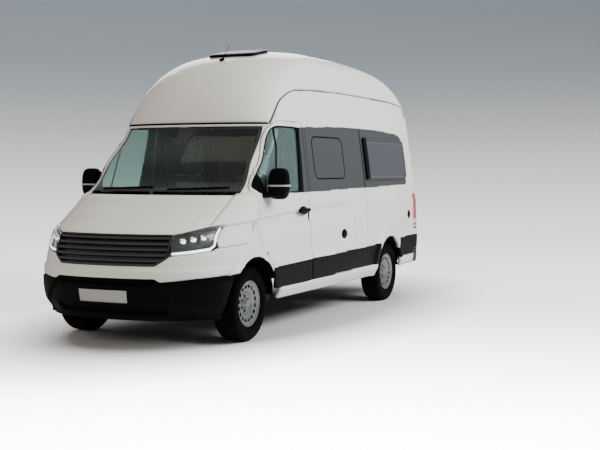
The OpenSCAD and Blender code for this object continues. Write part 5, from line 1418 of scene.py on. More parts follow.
def on_back(y, z, t=0):
    """Tail skin over half width y and height z, moved in by t."""
    _, _, _, rear, tail = level(z)
    wide = half_width(rear + tail, z) * taper(rear + tail)
    x = rear + tail - (tail - t) * bow(np.abs(y) / wide)
    return np.stack(np.broadcast_arrays(x, y, z), -1)


def back_relief(point):
    """Pressed fields of the rear door: a raised panel under the window and another one round it."""
    panel = PANEL_OUT * eased(-outline_distance(point, DOOR_PANEL, ACROSS) / 26)
    return panel + FIELD_OUT * eased(-outline_distance(point, WINDOW_FIELD, ACROSS) / 20)


points, tris, _ = cut_panel(on_back, np.linspace(0, 794, 50), np.linspace(568, 2300, 108),
                            [within(BACK_DOOR, 0, ACROSS), outside(BACK_WINDOW, 0, ACROSS)],
                            relief=back_relief)
pane_points, pane_tris, _ = cut_panel(lambda y, z, t=0: on_back(y, z, t + 6), np.linspace(105, 701, 34),
                                      np.linspace(WINDOW_LOW - 4, WINDOW_HIGH + 4, 28),
                                      [within(BACK_WINDOW, -1, ACROSS)], dip=0.0)
for side, turn in SIDES:
    make_piece("rear_door_panel_" + side, *turn(points, tris), [PAINT], "rear_door_" + side,
               ["rear_door_" + side], "white_paint", wall=42, lining=LINING)
    make_piece("rear_pane_" + side, *turn(pane_points, pane_tris), [DARK_GLASS], "rear_door_" + side,
               ["rear_door_glass_" + side], "dark_glass", wall=5)
print("rear door triangles", piece_log["rear_door_panel_left"])

# %% [markdown]
# The tail lamp wraps round the corner, and the bumper is a step that stands out behind. The lamp is a
# grid by place along the corner's curve, because equal angles would crowd its points on one side.

# %% Tail lamps and rear bumper
GROOVE_DEEP, GROOVE_Z, EDGE_ROLL, EDGE_LOW, EDGE_HIGH = 8, 500, 6, 410, 550
CORNER_START = -72
CLEAR_LOW, CLEAR_HIGH = 900, 965
LAMP_OUT, RIB_OUT, RIB_WAVE, RIBS_FROM = 5, 1.5, 0.21, 985


def on_lamp_corner(p, z, t=0):
    """Rear corner by place: p is the distance ahead of the end of the corner's curve, negative round the
    corner."""
    _, _, _, rear, tail = level(z)
    around = np.degrees(np.arccos(np.clip(-p / tail, 0, 1) ** (PLAN_POWER / 2)))
    return np.where((p < 0)[..., None], on_tail(around, z, t),
                    on_side(rear + tail + np.maximum(p, 0), z, t))


lamp_p, lamp_z = np.meshgrid(np.linspace(CORNER_START, LAMP_SIDE - 3, 30), np.linspace(879, 1290, 44),
                             indexing="ij")
lamp_ribs = RIB_OUT * np.sin(lamp_z * RIB_WAVE) * eased((lamp_z - RIBS_FROM) / 10)
tail_points = on_lamp_corner(lamp_p, lamp_z, -LAMP_OUT - lamp_ribs * 0.6).reshape(-1, 3)
tail_faces = facing(tail_points, grid_faces(30, 44), (-2000, 500, 1080))
middle_z = tail_points[tail_faces].mean(1)[:, 2]
make_piece("tail_lamp_lenses", *paired(tail_points, tail_faces), [RED_LENS, LENS], "body", ["tail_lamps"],
           "lamp_red", np.tile(((middle_z > CLEAR_LOW) & (middle_z < CLEAR_HIGH)).astype(int), 2),
           wall=26)


def on_rear_bumper(p, z, t=0):
    """Rear bumper: p from -1 to 1 goes round the tail and on to 2 along the side. It stands out to the
    reach of the rear end behind, and comes in to the skin towards the corner."""
    _, _, _, rear, tail = level(z)
    around = 90 * np.clip(p, -1, 1)
    out = t - (HALF_LENGTH + rear) * np.cos(np.radians(around)) ** 0.5
    x = between(rear + tail, BUMPER_SIDE - 2, np.clip(np.abs(p) - 1, 0, 1))
    side = on_side(x, z, t)
    side[..., 1] *= np.sign(p)
    return np.where((np.abs(p) > 1)[..., None], side, on_tail(around, z, out))


bump_columns = np.concatenate([np.linspace(-2, -1, 9)[:-1], np.linspace(-1, 1, 121),
                               np.linspace(1, 2, 9)[1:]])
bump_p, bump_z = np.meshgrid(bump_columns, np.linspace(394, 564, 18), indexing="ij")
groove = GROOVE_DEEP * eased(1 - np.abs(bump_z - GROOVE_Z) / 9)
groove = groove + EDGE_ROLL * eased((EDGE_LOW - bump_z) / 14) + EDGE_ROLL * eased((bump_z - EDGE_HIGH) / 14)
rear_points = on_rear_bumper(bump_p, bump_z, groove).reshape(-1, 3)
rear_faces = facing(rear_points, grid_faces(*bump_p.shape), (-2000, 0, 480))
make_piece("rear_bumper_moulding", rear_points, rear_faces, [GUARD], "body", ["rear_bumper"],
           "black_plastic", wall=28)
print("tail lamp quads", piece_log["tail_lamp_lenses"])

# %% [markdown]
# A dark guard covers the body's corner between bumper and lamp. It is the same corner surface, lifted a
# little and rolled in at its edges.

# %% Corner guards
GUARD_LOW, GUARD_HIGH, GUARD_OUT, GUARD_ROLL = 572, 858, 9, 7
guard_p, guard_z = np.meshgrid(np.linspace(CORNER_START, LAMP_SIDE, 24),
                               np.linspace(GUARD_LOW, GUARD_HIGH, 30), indexing="ij")
guard_rim = (eased((GUARD_LOW + 12 - guard_z) / 12) + eased((guard_z - GUARD_HIGH + 12) / 12)
             + eased((guard_p - LAMP_SIDE + 10) / 10))
guard_in = GUARD_ROLL * np.clip(guard_rim, 0, 1) - GUARD_OUT
guard_points = on_lamp_corner(guard_p, guard_z, guard_in).reshape(-1, 3)
guard_faces = facing(guard_points, grid_faces(24, 30), (-2000, 500, 700))
make_piece("corner_guards", *paired(guard_points, guard_faces), [GUARD], "body", slot="black_plastic",
           wall=12)
print("tail pieces ready")

# %% [markdown]
# ## Wheels
# A tyre is one closed section turned about the axle. Its tread is cut by the same formula that makes the
# section: four grooves run round it, and slots cross the two shoulders. The steel wheel is a turned disc
# with sixteen holes near its edge, a hub in the middle and six bolts.

# %% Tyre section
TREAD_DEPTH, TREAD_START, RING_OUT = 8.0, 338, 1.6
GROOVES_AT, RINGS_AT, SHOULDER = (20, 56), (236, 262, 318), 60
TYRE_STEPS, SLOT_WAVES = 240, 30


def run_length(points):
    """Length run along a chain of points, from 0 at the first."""
    return np.concatenate([[0], np.cumsum(np.linalg.norm(np.diff(points, axis=0), axis=1))])


def through(points, count):
    """Smooth curve through the points, spaced by its own length: a monotone cubic in each column over the
    chords."""
    p = np.asarray(points, float)
    run = run_length(p)
    s = np.linspace(0, run[-1], count)
    return np.stack([monotone(run, p[:, k], s) for k in range(p.shape[1])], 1)


def turned(profile, count, height=None):
    """Profile of radius and place turned about the axle into a ring of points by angle and profile.
    height(angle, profile) gives what is taken off the radius and off the place."""
    w = np.linspace(0, 2 * math.pi, count + 1)[:-1][:, None]
    r = np.broadcast_to(profile[:, 0], (count, len(profile)))
    y = np.broadcast_to(profile[:, 1], (count, len(profile)))
    if height is not None:
        less_r, less_y = height(np.broadcast_to(w, r.shape), r, y)
        r, y = r - less_r, y - less_y
    return np.stack([r * np.sin(w), y, r * np.cos(w)], -1).reshape(-1, 3)


def ring_faces(count, columns, closed=False):
    """Quads of a turned ring, which always closes round the axle."""
    return grid_faces(count + 1, columns, closed) % (count * columns)


half_section = [[208, 84], [216, 98], [226, 104], [244, 110], [270, 115.5], [292, 116.5], [312, 114],
                [330, 108], [342, 100], [350, 88], [353.5, 72], [355.5, 36], [356, 0]]
section_half = through(half_section, 31)
section = np.concatenate([section_half, section_half[-2::-1] * np.array([1, -1]),
                          [[206, -60], [206, 60]]])


def tread(w, r, y):
    """Depth of the tread: four grooves round the tyre and slots over both shoulders. The side wall has
    three raised rings."""
    away = np.abs(y)
    top = eased((r - TREAD_START) / 8)
    grooves = sum(eased(1.6 - np.abs(away - at) / 4.5) for at in GROOVES_AT)
    slots = eased((np.abs(np.sin(SLOT_WAVES * w + 0.012
                                 * y)) - 0.80) / 0.12) * eased((away - SHOULDER) / 5)
    rings = sum(eased(1 - np.abs(r - at) / 3.5) for at in RINGS_AT) * (away > SHOULDER)
    return top * TREAD_DEPTH * np.clip(grooves + slots, 0, 1), -RING_OUT * np.sign(y) * rings


tyre_points = turned(section, TYRE_STEPS, tread)
tyre_faces = facing(tyre_points, ring_faces(TYRE_STEPS, len(section), True), (0, 0, 0))
print("tyre quads", len(tyre_faces))

# %% [markdown]
# The disc is cut from a surface of angle and radius by the same panel tool as the body, so its holes have
# clean round edges and one can look through them at the dark hub behind.

# %% Steel wheel
RIM_FACE = np.array([[0, 88], [12, 88], [30, 87], [40, 82], [45, 72], [47, 52], [56, 47.5], [84, 47.5],
                     [94, 50], [104, 57], [114, 66], [124, 72], [140, 76], [162, 79], [180, 80],
                     [190, 80.5], [199, 83], [206, 91], [211, 96.5], [217, 97.5], [221, 96]])
HOLES, HOLE_RADIUS, HOLE_LONG, HOLE_SHORT = 16, 162, 23, 18
BOLTS, BOLT_RADIUS = 6, 70


def on_disc(w, r, t=0):
    """Face of the steel wheel at angle w and radius r, moved in along the axle by t."""
    y = monotone(RIM_FACE[:, 0], RIM_FACE[:, 1], r) - t
    return np.stack(np.broadcast_arrays(r * np.sin(w), y, r * np.cos(w)), -1)


def off_holes(point):
    """Field that keeps the metal between the holes: each hole is an oval, wider round the wheel than
    across it."""
    r = np.hypot(point[..., 0], point[..., 2])
    pitch = 2 * math.pi / HOLES
    w = np.arctan2(point[..., 0], point[..., 2])
    around = (np.mod(w, pitch) - pitch / 2) * HOLE_RADIUS
    return (1 - np.hypot(around / HOLE_LONG, (r - HOLE_RADIUS) / HOLE_SHORT)) * 19


disc_rows = np.concatenate([[0.5], np.linspace(12, 48, 7), np.linspace(56, 136, 9),
                            np.linspace(142, 190, 15), np.linspace(196, 221, 7)])
disc_points, disc_tris, _ = cut_panel(on_disc, np.linspace(0, 2 * math.pi, 161), disc_rows, [off_holes],
                                      dip=3.0)
barrel = through([[221, 96], [207, 84], [202, 60], [186, 40], [182, -40], [204, -66], [207, -86],
                  [221, -96]], 40)
barrel_points = turned(barrel, 96)
barrel_faces = facing(barrel_points, ring_faces(96, 40), (0, 0, 0))[:, ::-1]
drum = through([[0.5, 24], [150, 22], [158, 14], [158, -30]], 20)
drum_points = turned(drum, 64)
drum_faces = facing(drum_points, ring_faces(64, 20), (0, -20, 0))
bolt_w = np.arange(BOLTS) * math.pi / 3
bolt = turned(through([[0.3, 64], [7, 63.5], [11, 60], [12, 55], [12, 46]], 10), 12)
bolts = np.concatenate([bolt + np.array([BOLT_RADIUS * math.sin(w), 0, BOLT_RADIUS * math.cos(w)])
                        for w in bolt_w])
bolt_quads = facing(bolt, ring_faces(12, 10), (0, 20, 0))
bolt_faces = np.concatenate([bolt_quads + len(bolt) * k for k in range(BOLTS)])

wheel_parts = [("wheel_barrel_", barrel_points, barrel_faces, SILVER, "rim"),
               ("wheel_drum_", drum_points, drum_faces, IRON, "iron"),
               ("wheel_bolts_", bolts, bolt_faces, DULL_STEEL, "iron")]
for end, axle in (("front", FRONT_AXLE), ("rear", REAR_AXLE)):
    for side, turn in SIDES:
        hub = np.array([axle, WHEEL_Y, AXLE_HEIGHT])
        wheel = end + "_" + side
        make_piece("tyre_dress_" + wheel, *turn(tyre_points + hub, tyre_faces), [RUBBER],
                   "wheel_" + wheel, ["tyre_" + wheel], "tyre")
        make_piece("wheel_disc_" + wheel, *turn(disc_points + hub, disc_tris), [SILVER], "wheel_" + wheel,
                   ["rim_" + wheel], "rim", wall=5)
        for name, points, faces, finish, slot in wheel_parts:
            make_piece(name + wheel, *turn(points + hub, faces), [finish], "wheel_" + wheel, slot=slot)
print("wheel pieces:", len([name for name in piece_log if name.startswith("wheel")]))

# %% [markdown]
# ## Windows and seals
# The living space has plastic windows in a frame that stands proud of the wall, so each frame is a ring
# cut from the lifted skin. A seal is a small round bead carried along its outline on the skin. The groove
# in the left wall is drawn the same way: its black bead is painted shade of the recess.

# %% Side windows
# The bar's width also covers the shade on the frame's front face: the black bar is partly painted shade.
FRAME_OUT, FRAME_ROOM, BAR_AND_SHADE_WIDE, BAR_OUT = 20, 34, 92, 26
PANE_OUT, RING_OVER, RING_UNDER, PANE_UNDER = 17, 14, -10, -8


def proud(x, z, t=0):
    """Left skin lifted by the height of a window frame, flattened towards its edge by the inset."""
    return on_side(x, z, t - FRAME_OUT)


def window_pair(outline):
    """Frame ring, pane and front bar of one window outline, as three cut panels."""
    low, high = outline.min(0) - FRAME_ROOM, outline.max(0) + FRAME_ROOM
    columns = np.linspace(low[0], high[0], max(24, int((high[0] - low[0]) / 14)))
    rows = np.linspace(low[1], high[1], int((high[1] - low[1]) / 11))
    ring = cut_panel(proud, columns, rows, [within(outline, RING_OVER), outside(outline, RING_UNDER)],
                     dip=5.0)[:2]
    pane = cut_panel(lambda x, z, t=0: on_side(x, z, t - PANE_OUT), columns[::3], rows[::3],
                     [within(outline, PANE_UNDER)], dip=0.0)[:2]
    # The black front bar is wider than the frame needs: it also stands for the shade on the frame's front
    # face, so it is partly painted shade.
    bar_and_shade_outline = rectangle(high[0] - FRAME_ROOM - BAR_AND_SHADE_WIDE, high[0] - 14, low[1] + 22, high[1] - 10, 22)
    bar = cut_panel(lambda x, z, t=0: on_side(x, z, t - BAR_OUT), np.linspace(high[0] - 160, high[0], 24),
                    rows, [within(bar_and_shade_outline)], dip=5.0)[:2]
    return ring, pane, bar


rear_shapes = window_pair(REAR_WINDOW)
slide_shapes = window_pair(SLIDE_WINDOW)
shape_pairs = zip(rear_shapes, slide_shapes)
rings, panes, bars = (gather([paired(*rear), mirrored(*slide)]) for rear, slide in shape_pairs)
make_piece("window_frame_rings", *rings, [FILM], "body", ["window_frames"], "black_plastic", wall=34)
make_piece("window_panes", *panes, [DARK_GLASS], "body", ["side_windows"], "dark_glass", wall=4)
make_piece("window_front_bars_and_shade", *bars, [TRIM], "body", slot="black_plastic", wall=26)
print("window frame triangles", piece_log["window_frame_rings"])

# %% [markdown]
# Rubber seals and panel joints are thin beads that follow an outline on the skin. A curve object with a
# bevel could make them too, but rings of points take the skin's own outward direction, so a bead always
# sits flat on it.

# %% Beads along outlines


def bead(outline, wide, tall, t=0.0):
    """Bead round a closed outline on the left skin: the outline is spaced evenly and lifted onto the
    skin, and a small round profile is carried along it and joined to its start."""
    closed = np.concatenate([outline, outline[:1]])
    run = run_length(closed)
    count = max(16, int(run[-1] / BEAD_STEP))
    s = np.linspace(0, run[-1], count + 1)[:-1]
    x, z = np.interp(s, run, closed[:, 0]), np.interp(s, run, closed[:, 1])
    path = on_side(x, z, np.full(count, t))
    out = unit(on_side(x, z, np.full(count, t - BEAD_PROBE)) - path)
    way = unit(np.roll(path, -1, 0) - np.roll(path, 1, 0))
    across = unit(np.cross(out, way))
    profile = round_profile(wide, tall, BEAD_SIDES)
    points = rings_along(path, across, out, profile).reshape(-1, 3)
    faces = ring_faces(count, BEAD_SIDES, True)
    first = points[faces[0]]
    looks = np.dot(np.cross(first[1] - first[0], first[3] - first[0]), first.mean(0) - path[0])
    return points, faces if looks > 0 else faces[:, ::-1]


def strip(path_xz, wide, tall, t=0.0, count=60):
    """Bead along an open line on the left skin, with closed ends."""
    p = through(path_xz, count)
    path = on_side(p[:, 0], p[:, 1], np.full(count, t))
    out = unit(on_side(p[:, 0], p[:, 1], np.full(count, t - BEAD_PROBE)) - path)
    way = unit(np.gradient(path, axis=0))
    return carried(path, unit(np.cross(out, way)), out, round_profile(wide, tall, BEAD_SIDES))


SAIL_X, SAIL_Z, SAIL_SLOPE, SAIL_DEEP, SAIL_OVER = 1672, 1390, 0.16, 3, 7


def ahead_of_sail(point):
    """Field of the mirror's foot: what is ahead of a slanted line over the window's front corner."""
    return (SAIL_X - point[..., 0]) + SAIL_SLOPE * (point[..., 2] - SAIL_Z)


# Outline of a pressed groove in the left wall, drawn as a black bead: painted shade of the recess.
GROOVE_SHADE_OUTLINE = rectangle(-345, 478, 1516, 1966, 85)
FLAP = rectangle(-970, -548, 789, 1097, 40)
door_seal = bead(DOOR_WINDOW, 16, 12, 5)
divider = strip([[1268, 2040], [1290, 1965], [1380, 1636], [1440, 1400]], 15, 12, 8)
sail = cut_panel(lambda x, z, t=0: on_side(x, z, t + SAIL_DEEP), np.linspace(1620, 1850, 60),
                 np.linspace(1360, 1660, 70), [within(DOOR_WINDOW, SAIL_OVER), ahead_of_sail])[:2]
for side, turn in SIDES:
    make_piece("door_window_seal_" + side, *turn(*gather([door_seal, divider])), [SEAL],
               "cab_door_" + side, slot="rubber")
    make_piece("mirror_foot_" + side, *turn(*sail), [TRIM], "cab_door_" + side, slot="black_plastic",
               wall=10)
# Painted shade: the groove's recess is drawn as a raised black bead.
make_piece("wall_groove_shade", *bead(GROOVE_SHADE_OUTLINE, 15, 7, 0.5), [SEAL], "body", slot="black_plastic")
seam_line = [strip([[-931, 1412], [-925, 2098]], 17, 7, 0.2),
             strip([[-930, 760], [-931, 1412]], 3, 2, 0.4), strip([[637, 1384], [626, 2058]], 5, 3, 0.4)]
make_piece("wall_joints", *gather(seam_line), [SEAL], "body", slot="black_plastic")
make_piece("wall_flap_edge", *bead(FLAP, 10, 5, 0.5), [PAINT], "body", slot="white_paint")
door_stop = strip([[DOOR_REAR - 2, 480], [DOOR_REAR - 2, 1300], [DOOR_REAR - 2, 2070],
                   [DOOR_REAR + 36, 2106], [1240, 2108]], 22, 10, 25, 120)
make_piece("door_stop_seals", *paired(*door_stop), [SEAL], "body", slot="rubber")
print("beads:", piece_log["wall_groove_shade"], piece_log["wall_joints"])

# %% [markdown]
# ## Roof joint and header
# The roof moulding is glued over the steel body. Its joint shows as a dark rubber line along the side, up
# the cab's corner and over the windscreen, where the moulding ends in a lip. Over the windscreen the dark
# bead is made wide and thick, so that it also stands for the shade under the lip: partly a seal, partly
# painted shade.

# %% Roof joint
joint_line = strip(ROOF_UNDER[:(ARC_STEPS + 1) * len(SEAM)], 9, 7, 1, 240)
header_a = np.linspace(-62, 62, 81)
# Wide dark bead over the windscreen: partly the rubber seal, partly painted shade under the roof's lip.
header_seal_and_shade = nose_bead(header_a, 2080.0, 1, 20, 14)
header_lip = nose_bead(header_a, 2062.0, -3, 16, 12)
make_piece("roof_joint_and_lip_shade", *gather([paired(*joint_line), header_seal_and_shade]), [SEAL], "body", slot="rubber")
make_piece("header_lip", *header_lip, [PAINT], "body", slot="white_paint")
print("roof joint quads", piece_log["roof_joint_and_lip_shade"])

# %% [markdown]
# ## Door mirrors, handles and caps
# A mirror housing is a superellipsoid: a round plan carried up with a bulging section, so its corners are
# soft from every side. It stands on a short arm at the window's front corner, and a pale strip of the
# indicator runs round it.

# %% Mirrors
MIRROR_PLACE = (1602.0, 1093.0, 1480.0)
MIRROR_HALF = (86.0, 103.0, 152.0)
MIRROR_PLAN, MIRROR_UP, MIRROR_LEAN, MIRROR_BACK = 0.62, 0.5, 0.20, 0.72
BAND_STEPS, BAND_Z, ARM_STEPS = 60, 1461.0, 16
GLASS_PLACE, GLASS_HALF = (1540.0, 1093, 1480), (4, 84, 122)


def superellipsoid(half, power_plan, power_up, count=48, rows=33):
    """Closed superellipsoid: latitude rows by longitude columns, each direction's sine and cosine raised
    to a power below one for flat sides and round corners. The poles are the closed first and last
    rows."""
    up = np.linspace(-math.pi / 2, math.pi / 2, rows)[:, None]
    w = np.linspace(0, 2 * math.pi, count + 1)[:-1][None, :]
    flat = bent(np.cos(up), power_up)
    points = np.stack(np.broadcast_arrays(half[0] * flat * bent(np.cos(w), power_plan),
                                          half[1] * flat * bent(np.sin(w), power_plan),
                                          half[2] * bent(np.sin(up), power_up)), -1).reshape(-1, 3)
    return points, facing(points, grid_faces(rows, count, True), (0, 0, 0))


housing, housing_faces = superellipsoid(MIRROR_HALF, MIRROR_PLAN, MIRROR_UP)
lean = 1 - MIRROR_LEAN * (housing[:, 2:] / MIRROR_HALF[2]) ** 2
thin = lean * np.where(housing[:, :1] > 0, 1.0, MIRROR_BACK)
housing = housing * np.concatenate([thin, lean ** 0.5, np.ones_like(lean)], 1)
housing_at = housing + np.array(MIRROR_PLACE)
band_w = np.linspace(-0.35 * math.pi, 0.62 * math.pi, BAND_STEPS)
band = np.stack([MIRROR_PLACE[0] + (MIRROR_HALF[0] + 1) * bent(np.cos(band_w), MIRROR_PLAN),
                 MIRROR_PLACE[1] + (MIRROR_HALF[1] + 1) * bent(np.sin(band_w), MIRROR_PLAN),
                 np.full(BAND_STEPS, BAND_Z)], 1)
band_way = unit(np.gradient(band, axis=0))
up_dir = np.tile([0.0, 0, 1], (BAND_STEPS, 1))
indicator = carried(band, up_dir, unit(np.cross(band_way, up_dir)), round_profile(17, 7))
arm_path = through([[1720, 968, 1372], [1702, 1000, 1374], [1668, 1046, 1376], [1615, 1088, 1384]],
                   ARM_STEPS)
arm_way = unit(np.gradient(arm_path, axis=0))
arm_side = unit(np.cross(arm_way, up_dir[:ARM_STEPS]))
arm = carried(arm_path, arm_side, unit(np.cross(arm_side, arm_way)), round_profile(104, 62, 16))
mirror_glass, glass_faces = superellipsoid(GLASS_HALF, 0.5, 0.35, 24, 17)
for side, turn in SIDES:
    make_piece("mirror_housing_" + side, *turn(housing_at, housing_faces), [MOULDED], "cab_door_" + side,
               ["mirror_" + side], "black_plastic")
    make_piece("mirror_arm_" + side, *turn(*arm), [MOULDED], "cab_door_" + side, slot="black_plastic")
    make_piece("mirror_indicator_" + side, *turn(*indicator), [PLATE], "cab_door_" + side,
               slot="lamp_inside")
    make_piece("mirror_glass_" + side, *turn(mirror_glass + np.array(GLASS_PLACE), glass_faces),
               [BRIGHT], "cab_door_" + side, slot="clear_glass")
print("mirror quads", piece_log["mirror_housing_left"])

# %% [markdown]
# A pull handle is a bead with a large section, and a cap is a shallow dome. Both are laid on the skin, so
# that they follow its curve.

# %% Handles and caps


def lens_shape(x, z, half, out):
    """Shallow oval cap on the left skin: a grid of radius and angle whose height falls to zero at its
    edge."""
    r = np.linspace(0.02, 1, 10)[None, :]
    w = np.linspace(0, 2 * math.pi, 41)[:-1][:, None]
    px, pz = x + half[0] * r * np.cos(w), z + half[1] * r * np.sin(w)
    points = on_side(px, pz, -out * np.sqrt(np.maximum(0, 1 - r ** 4)) - 1.0).reshape(-1, 3)
    return points, facing(points, ring_faces(40, 10), (x, 0, z))


handle = strip([[738, 1197], [800, 1197], [900, 1196], [978, 1195]], 40, 30, -16, 40)
handle_cup = lens_shape(858, 1196, (96, 44), 1.0)
for side, turn in SIDES:
    make_piece("door_handle_" + side, *turn(*handle), [MOULDED], "cab_door_" + side, slot="black_plastic")
    make_piece("door_handle_cup_" + side, *turn(*handle_cup), [TRIM], "cab_door_" + side,
               slot="black_plastic")
slide_handle = strip([[590, 1208], [520, 1209], [430, 1210], [360, 1210]], 40, 30, -16, 40)
caps = gather([lens_shape(-200, 898, (80, 54), 12), lens_shape(-2510, 1030, (56, 56), 9)])
make_piece("wall_caps", *caps, [MOULDED], "body", slot="black_plastic")
make_piece("slide_handle", *mirrored(*slide_handle), [MOULDED], "body", slot="black_plastic")
rail = strip([[-590, 1262], [-1500, 1292], [-2300, 1318]], 34, 16, -4, 60)
make_piece("slide_rail", *mirrored(*rail), [TRIM], "body", slot="black_plastic")
print("small trim:", piece_log["wall_caps"], piece_log["slide_handle"])

# %% [markdown]
# ## What the frame already shows well
# Chassis, axles, tanks, dashboard and cupboards keep the shapes of their solids. Each only gets a finish.

# %% Finishes of the plain solids
PLAIN_FINISHES = {
    STEEL: ("floor_pan", "chassis_frame", "front_suspension", "rear_axle"),
    SEAL: ("wheel_housings", "mudflaps"),
    IRON: ("engine_block", "knuckle_left", "knuckle_right"),
    MOULDED: ("fuel_tank", "scuttle", "antenna"),
    PAINT: ("hinge_posts",),
    DASH: ("dashboard", "steering_wheel"),
    VENEER: ("cabinets",),
    DULL_STEEL: ("exhaust",),
}
for finish, names in PLAIN_FINISHES.items():
    for name in names:
        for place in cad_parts[name].material_slots:
            place.material = finish
print("plain solids:", sum(len(names) for names in PLAIN_FINISHES.values()))

# %% [markdown]
# ## Seats and bed
# A seat is three cushions: a base, a back that leans and a headrest. A cushion starts as a boxy
# superellipsoid. Its top is crowned, its sides are drawn in between the corners, and sewn channels sink
# along lines, so that it reads as foam under cloth.

# %% Cushions
CUSHION_PLAN, CUSHION_UP = 0.34, 0.42
SEWN_WIDE, SEWN_DEEP, SEWN_END = 0.035, 10, 0.2


def cushion(half, crown, draw, channels=(), count=72, rows=49):
    """Crowned cushion round the origin: a superellipsoid whose upper face rises by the crown towards its
    middle, whose sides come in by draw between the corners, and whose channels, given as places across,
    sink into the top."""
    points, faces = superellipsoid(half, CUSHION_PLAN, CUSHION_UP, count, rows)
    sx, sy, sz = (points / np.array(half)).T
    bulge = (1 - sx ** 2) * (1 - sy ** 2)
    points[:, 0] *= 1 - draw * (1 - sy ** 2) * np.abs(sx)
    points[:, 1] *= 1 - draw * (1 - sx ** 2) * np.abs(sy)
    sewn = sum((np.exp(-((sy - at) / SEWN_WIDE) ** 2) for at in channels), np.zeros(len(points)))
    sunk = SEWN_DEEP * sewn * eased((1 - np.abs(sx)) / SEWN_END)
    points[:, 2] += np.clip(sz, 0, 1) * (crown * bulge - sunk)
    return points, faces


def leaned(points, degrees):
    """Points turned about the y axis, so that what was up leans back."""
    c, s = math.cos(math.radians(degrees)), math.sin(math.radians(degrees))
    return points @ np.array([[c, 0, s], [0, 1, 0], [-s, 0, c]])


SEAT_Y, SEAT_TILT, SEAT_FILL, BED_FILL = 430, 13, 0.7, 0.8
base, base_faces = cushion((228, 238, 66), 20, 0.05, (-0.55, 0.55))
back, back_faces = cushion((288, 232, 58), 18, 0.05, (-0.5, 0.5))
rest, rest_faces = cushion((100, 125, 48), 12, 0.04)
seat_parts = [("seat_base", base + np.array([1034.0, 0, 900]), base_faces),
              ("seat_back", leaned(back, 90 - SEAT_TILT) + np.array([770.0, 0, 1285]), back_faces),
              ("seat_headrest", leaned(rest, 90 - SEAT_TILT) + np.array([668.0, 0, 1672]), rest_faces)]
for end, sign in (("left", 1), ("right", -1)):
    for name, points, faces in seat_parts:
        piece = make_piece(name + "_" + end, points + np.array([0, sign * SEAT_Y, 0]), faces, [CLOTH],
                           "body", ["cab_seats"], "cloth")

BED = (-2790, -1202, 1150, 1300)
bed_middle = np.array([(BED[0] + BED[1]) / 2, 0, (BED[2] + BED[3]) / 2])
mattress, mattress_faces = cushion(((BED[1] - BED[0]) / 2 - 12, 860, 66), 12, 0.01,
                                   (-0.66, -0.33, 0.0, 0.33, 0.66), 144, 49)
piece = make_piece("mattress", mattress + bed_middle, mattress_faces, [COVER], "body", ["rear_bed"],
                   "mattress")
print("cushions:", [name for name in piece_log if name.startswith(("seat", "mattress"))])

# %% [markdown]
# The mattress lies on a board over two long box sides, and each seat stands on a plain pedestal. They are
# boxes with round edges: superellipsoids with small powers.

# %% Boards and pedestals


def round_box(low, high):
    """Box between two corners with soft edges."""
    low, high = np.array(low, float), np.array(high, float)
    points, faces = superellipsoid((high - low) / 2, BOX_POWER, BOX_POWER, 40, 21)
    return points + (low + high) / 2, faces


BOX_POWER = 0.12
BOARD_Y, BOARD_HALF, FLOOR_TOP = 437, 15, 620
TOP_HALF, TOP_LOW, TOP_HIGH, SIDE_HIGH = 850, 1119, 1146, 1118
PEDESTAL = (830, 1245, 205, 838)
boards = [round_box((BED[0], s * BOARD_Y - BOARD_HALF, FLOOR_TOP),
                    (BED[1], s * BOARD_Y + BOARD_HALF, SIDE_HIGH)) for s in (-1, 1)]
boards.append(round_box((BED[0], -TOP_HALF, TOP_LOW), (BED[1], TOP_HALF, TOP_HIGH)))
make_piece("bed_boards", *gather(boards), [VENEER], "body", ["rear_bed"], "wood")
pedestals = [round_box((PEDESTAL[0], s * SEAT_Y - PEDESTAL[2], FLOOR_TOP),
                       (PEDESTAL[1], s * SEAT_Y + PEDESTAL[2], PEDESTAL[3])) for s in (-1, 1)]
make_piece("seat_pedestals", *gather(pedestals), [DASH], "body", ["cab_seats"], "dash")
print("boards:", piece_log["bed_boards"], "pedestals:", piece_log["seat_pedestals"])

# %% [markdown]
# ## Last details
# The roof hatch is a low dome that follows the slope of the roof. The plate in front stays blank. Behind
# each lamp's lens sit three round light modules, and two wipers rest along the foot of the windscreen.

# %% Hatch, plate, modules and wipers
HATCH_PLACE, HATCH_HALF, HATCH_SLOPE = (395.0, 0, 2893.0), (218, 285, 28), -11
hatch, hatch_faces = superellipsoid(HATCH_HALF, 0.3, 0.5, 64, 17)
make_piece("roof_hatch_cover", leaned(hatch, HATCH_SLOPE) + np.array(HATCH_PLACE), hatch_faces, [TRIM],
           "body", ["roof_hatch"], "black_plastic")

PLATE_ANGLE, PLATE_LOW, PLATE_HIGH = 10.2, 428, 540
plate = nose_surface(np.linspace(-PLATE_ANGLE, PLATE_ANGLE, 33), lambda a: np.full_like(a, PLATE_LOW),
                     lambda a: np.full_like(a, PLATE_HIGH), 8, t=-6)
make_piece("blank_plate", *plate, [PLATE], "body", slot="white_paint", wall=5)

MODULES, MODULE_DEEP = ((39.0, 0.62), (45.5, 0.60), (52.0, 0.60)), 32.0
ball, ball_faces = superellipsoid((20, 34, 30), 0.7, 0.7, 32, 17)
modules = []
for a, up in MODULES:
    at = np.array([a])
    modules.append((ball + on_nose(at, between(lamp_low(at), lamp_top(at), up), MODULE_DEEP), ball_faces))
make_piece("lamp_modules", *paired(*gather(modules)), [BRIGHT], "body", slot="lamp_inside")


WIPER_STEPS, WIPER_LOW, WIPER_HIGH = 40, 22, 44


def wiper(first, last):
    """Wiper blade along the foot of the glass between two angles, rising a little to its tip."""
    a = np.linspace(first, last, WIPER_STEPS)
    z = np.linspace(SCREEN_LOW + WIPER_LOW, SCREEN_LOW + WIPER_HIGH, WIPER_STEPS)
    return nose_bead(a, z, -3, 16, 14)


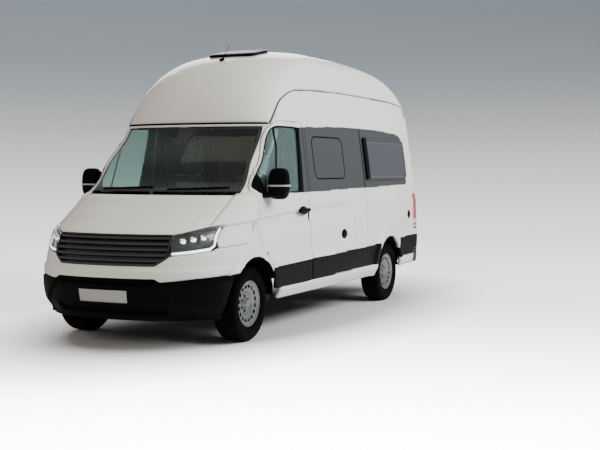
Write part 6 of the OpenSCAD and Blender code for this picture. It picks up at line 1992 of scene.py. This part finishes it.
make_piece("wipers", *gather([wiper(4, 44), wiper(-38, -2)]), [SEAL], "body", slot="black_plastic")
print("details:", piece_log["roof_hatch_cover"], piece_log["lamp_modules"], piece_log["wipers"])

# %% [markdown]
# ## Linings
# A flange closes each wheel opening towards the housing inside, and an inner skirt stands behind the
# nose, so that one doesn't look through the engine bay to the ground.

# %% Arch flanges and inner skirt
FLANGE_IN, FLANGE_WALL, FLANGE_START, FLANGE_GRID = 884, 4, 6, (73, 6)
SKIRT_END, SKIRT_DROP, SKIRT_DEEP = 84, 34, 80


def arch_flange(axle):
    """Strip round a wheel opening: its angle goes over the wheel and its depth goes from the skin in to
    the housing."""
    angles = np.radians(np.linspace(FLANGE_START, 180 - FLANGE_START, FLANGE_GRID[0]))
    w, depth = np.meshgrid(angles, np.linspace(0, 1, FLANGE_GRID[1]), indexing="ij")
    x, z = axle + ARCH_RADIUS * np.cos(w), AXLE_HEIGHT + ARCH_RADIUS * np.sin(w)
    y = between(side_y(x, z) - 6, np.full_like(x, FLANGE_IN), depth)
    points = np.stack([x, y, z], -1).reshape(-1, 3)
    return points, facing(points, grid_faces(*FLANGE_GRID), (axle, WHEEL_Y, AXLE_HEIGHT))[:, ::-1]


flanges = gather([paired(*arch_flange(axle)) for axle in (FRONT_AXLE, REAR_AXLE)])
make_piece("arch_flanges", *flanges, [SEAL], "body", slot="black_plastic", wall=-FLANGE_WALL)
SKIRT_LOW = np.array([[0, 560], [38, 560], [50, 835], [90, 835]])
skirt = nose_surface(np.linspace(-SKIRT_END, SKIRT_END, 121), lambda a: edge_height(SKIRT_LOW, a),
                     lambda a: edge_height(LAMP_EDGE, a) - SKIRT_DROP, 12, t=SKIRT_DEEP)
make_piece("nose_skirt", *skirt, [STEEL], "body", slot="steel", wall=3)
print("linings:", piece_log["arch_flanges"], piece_log["nose_skirt"])

# %% [markdown]
# ## Counts
# The last cell prints how many pieces were made and how many faces they have.

# %% Counts
print("pieces:", len(piece_log), "faces:", sum(piece_log.values()))
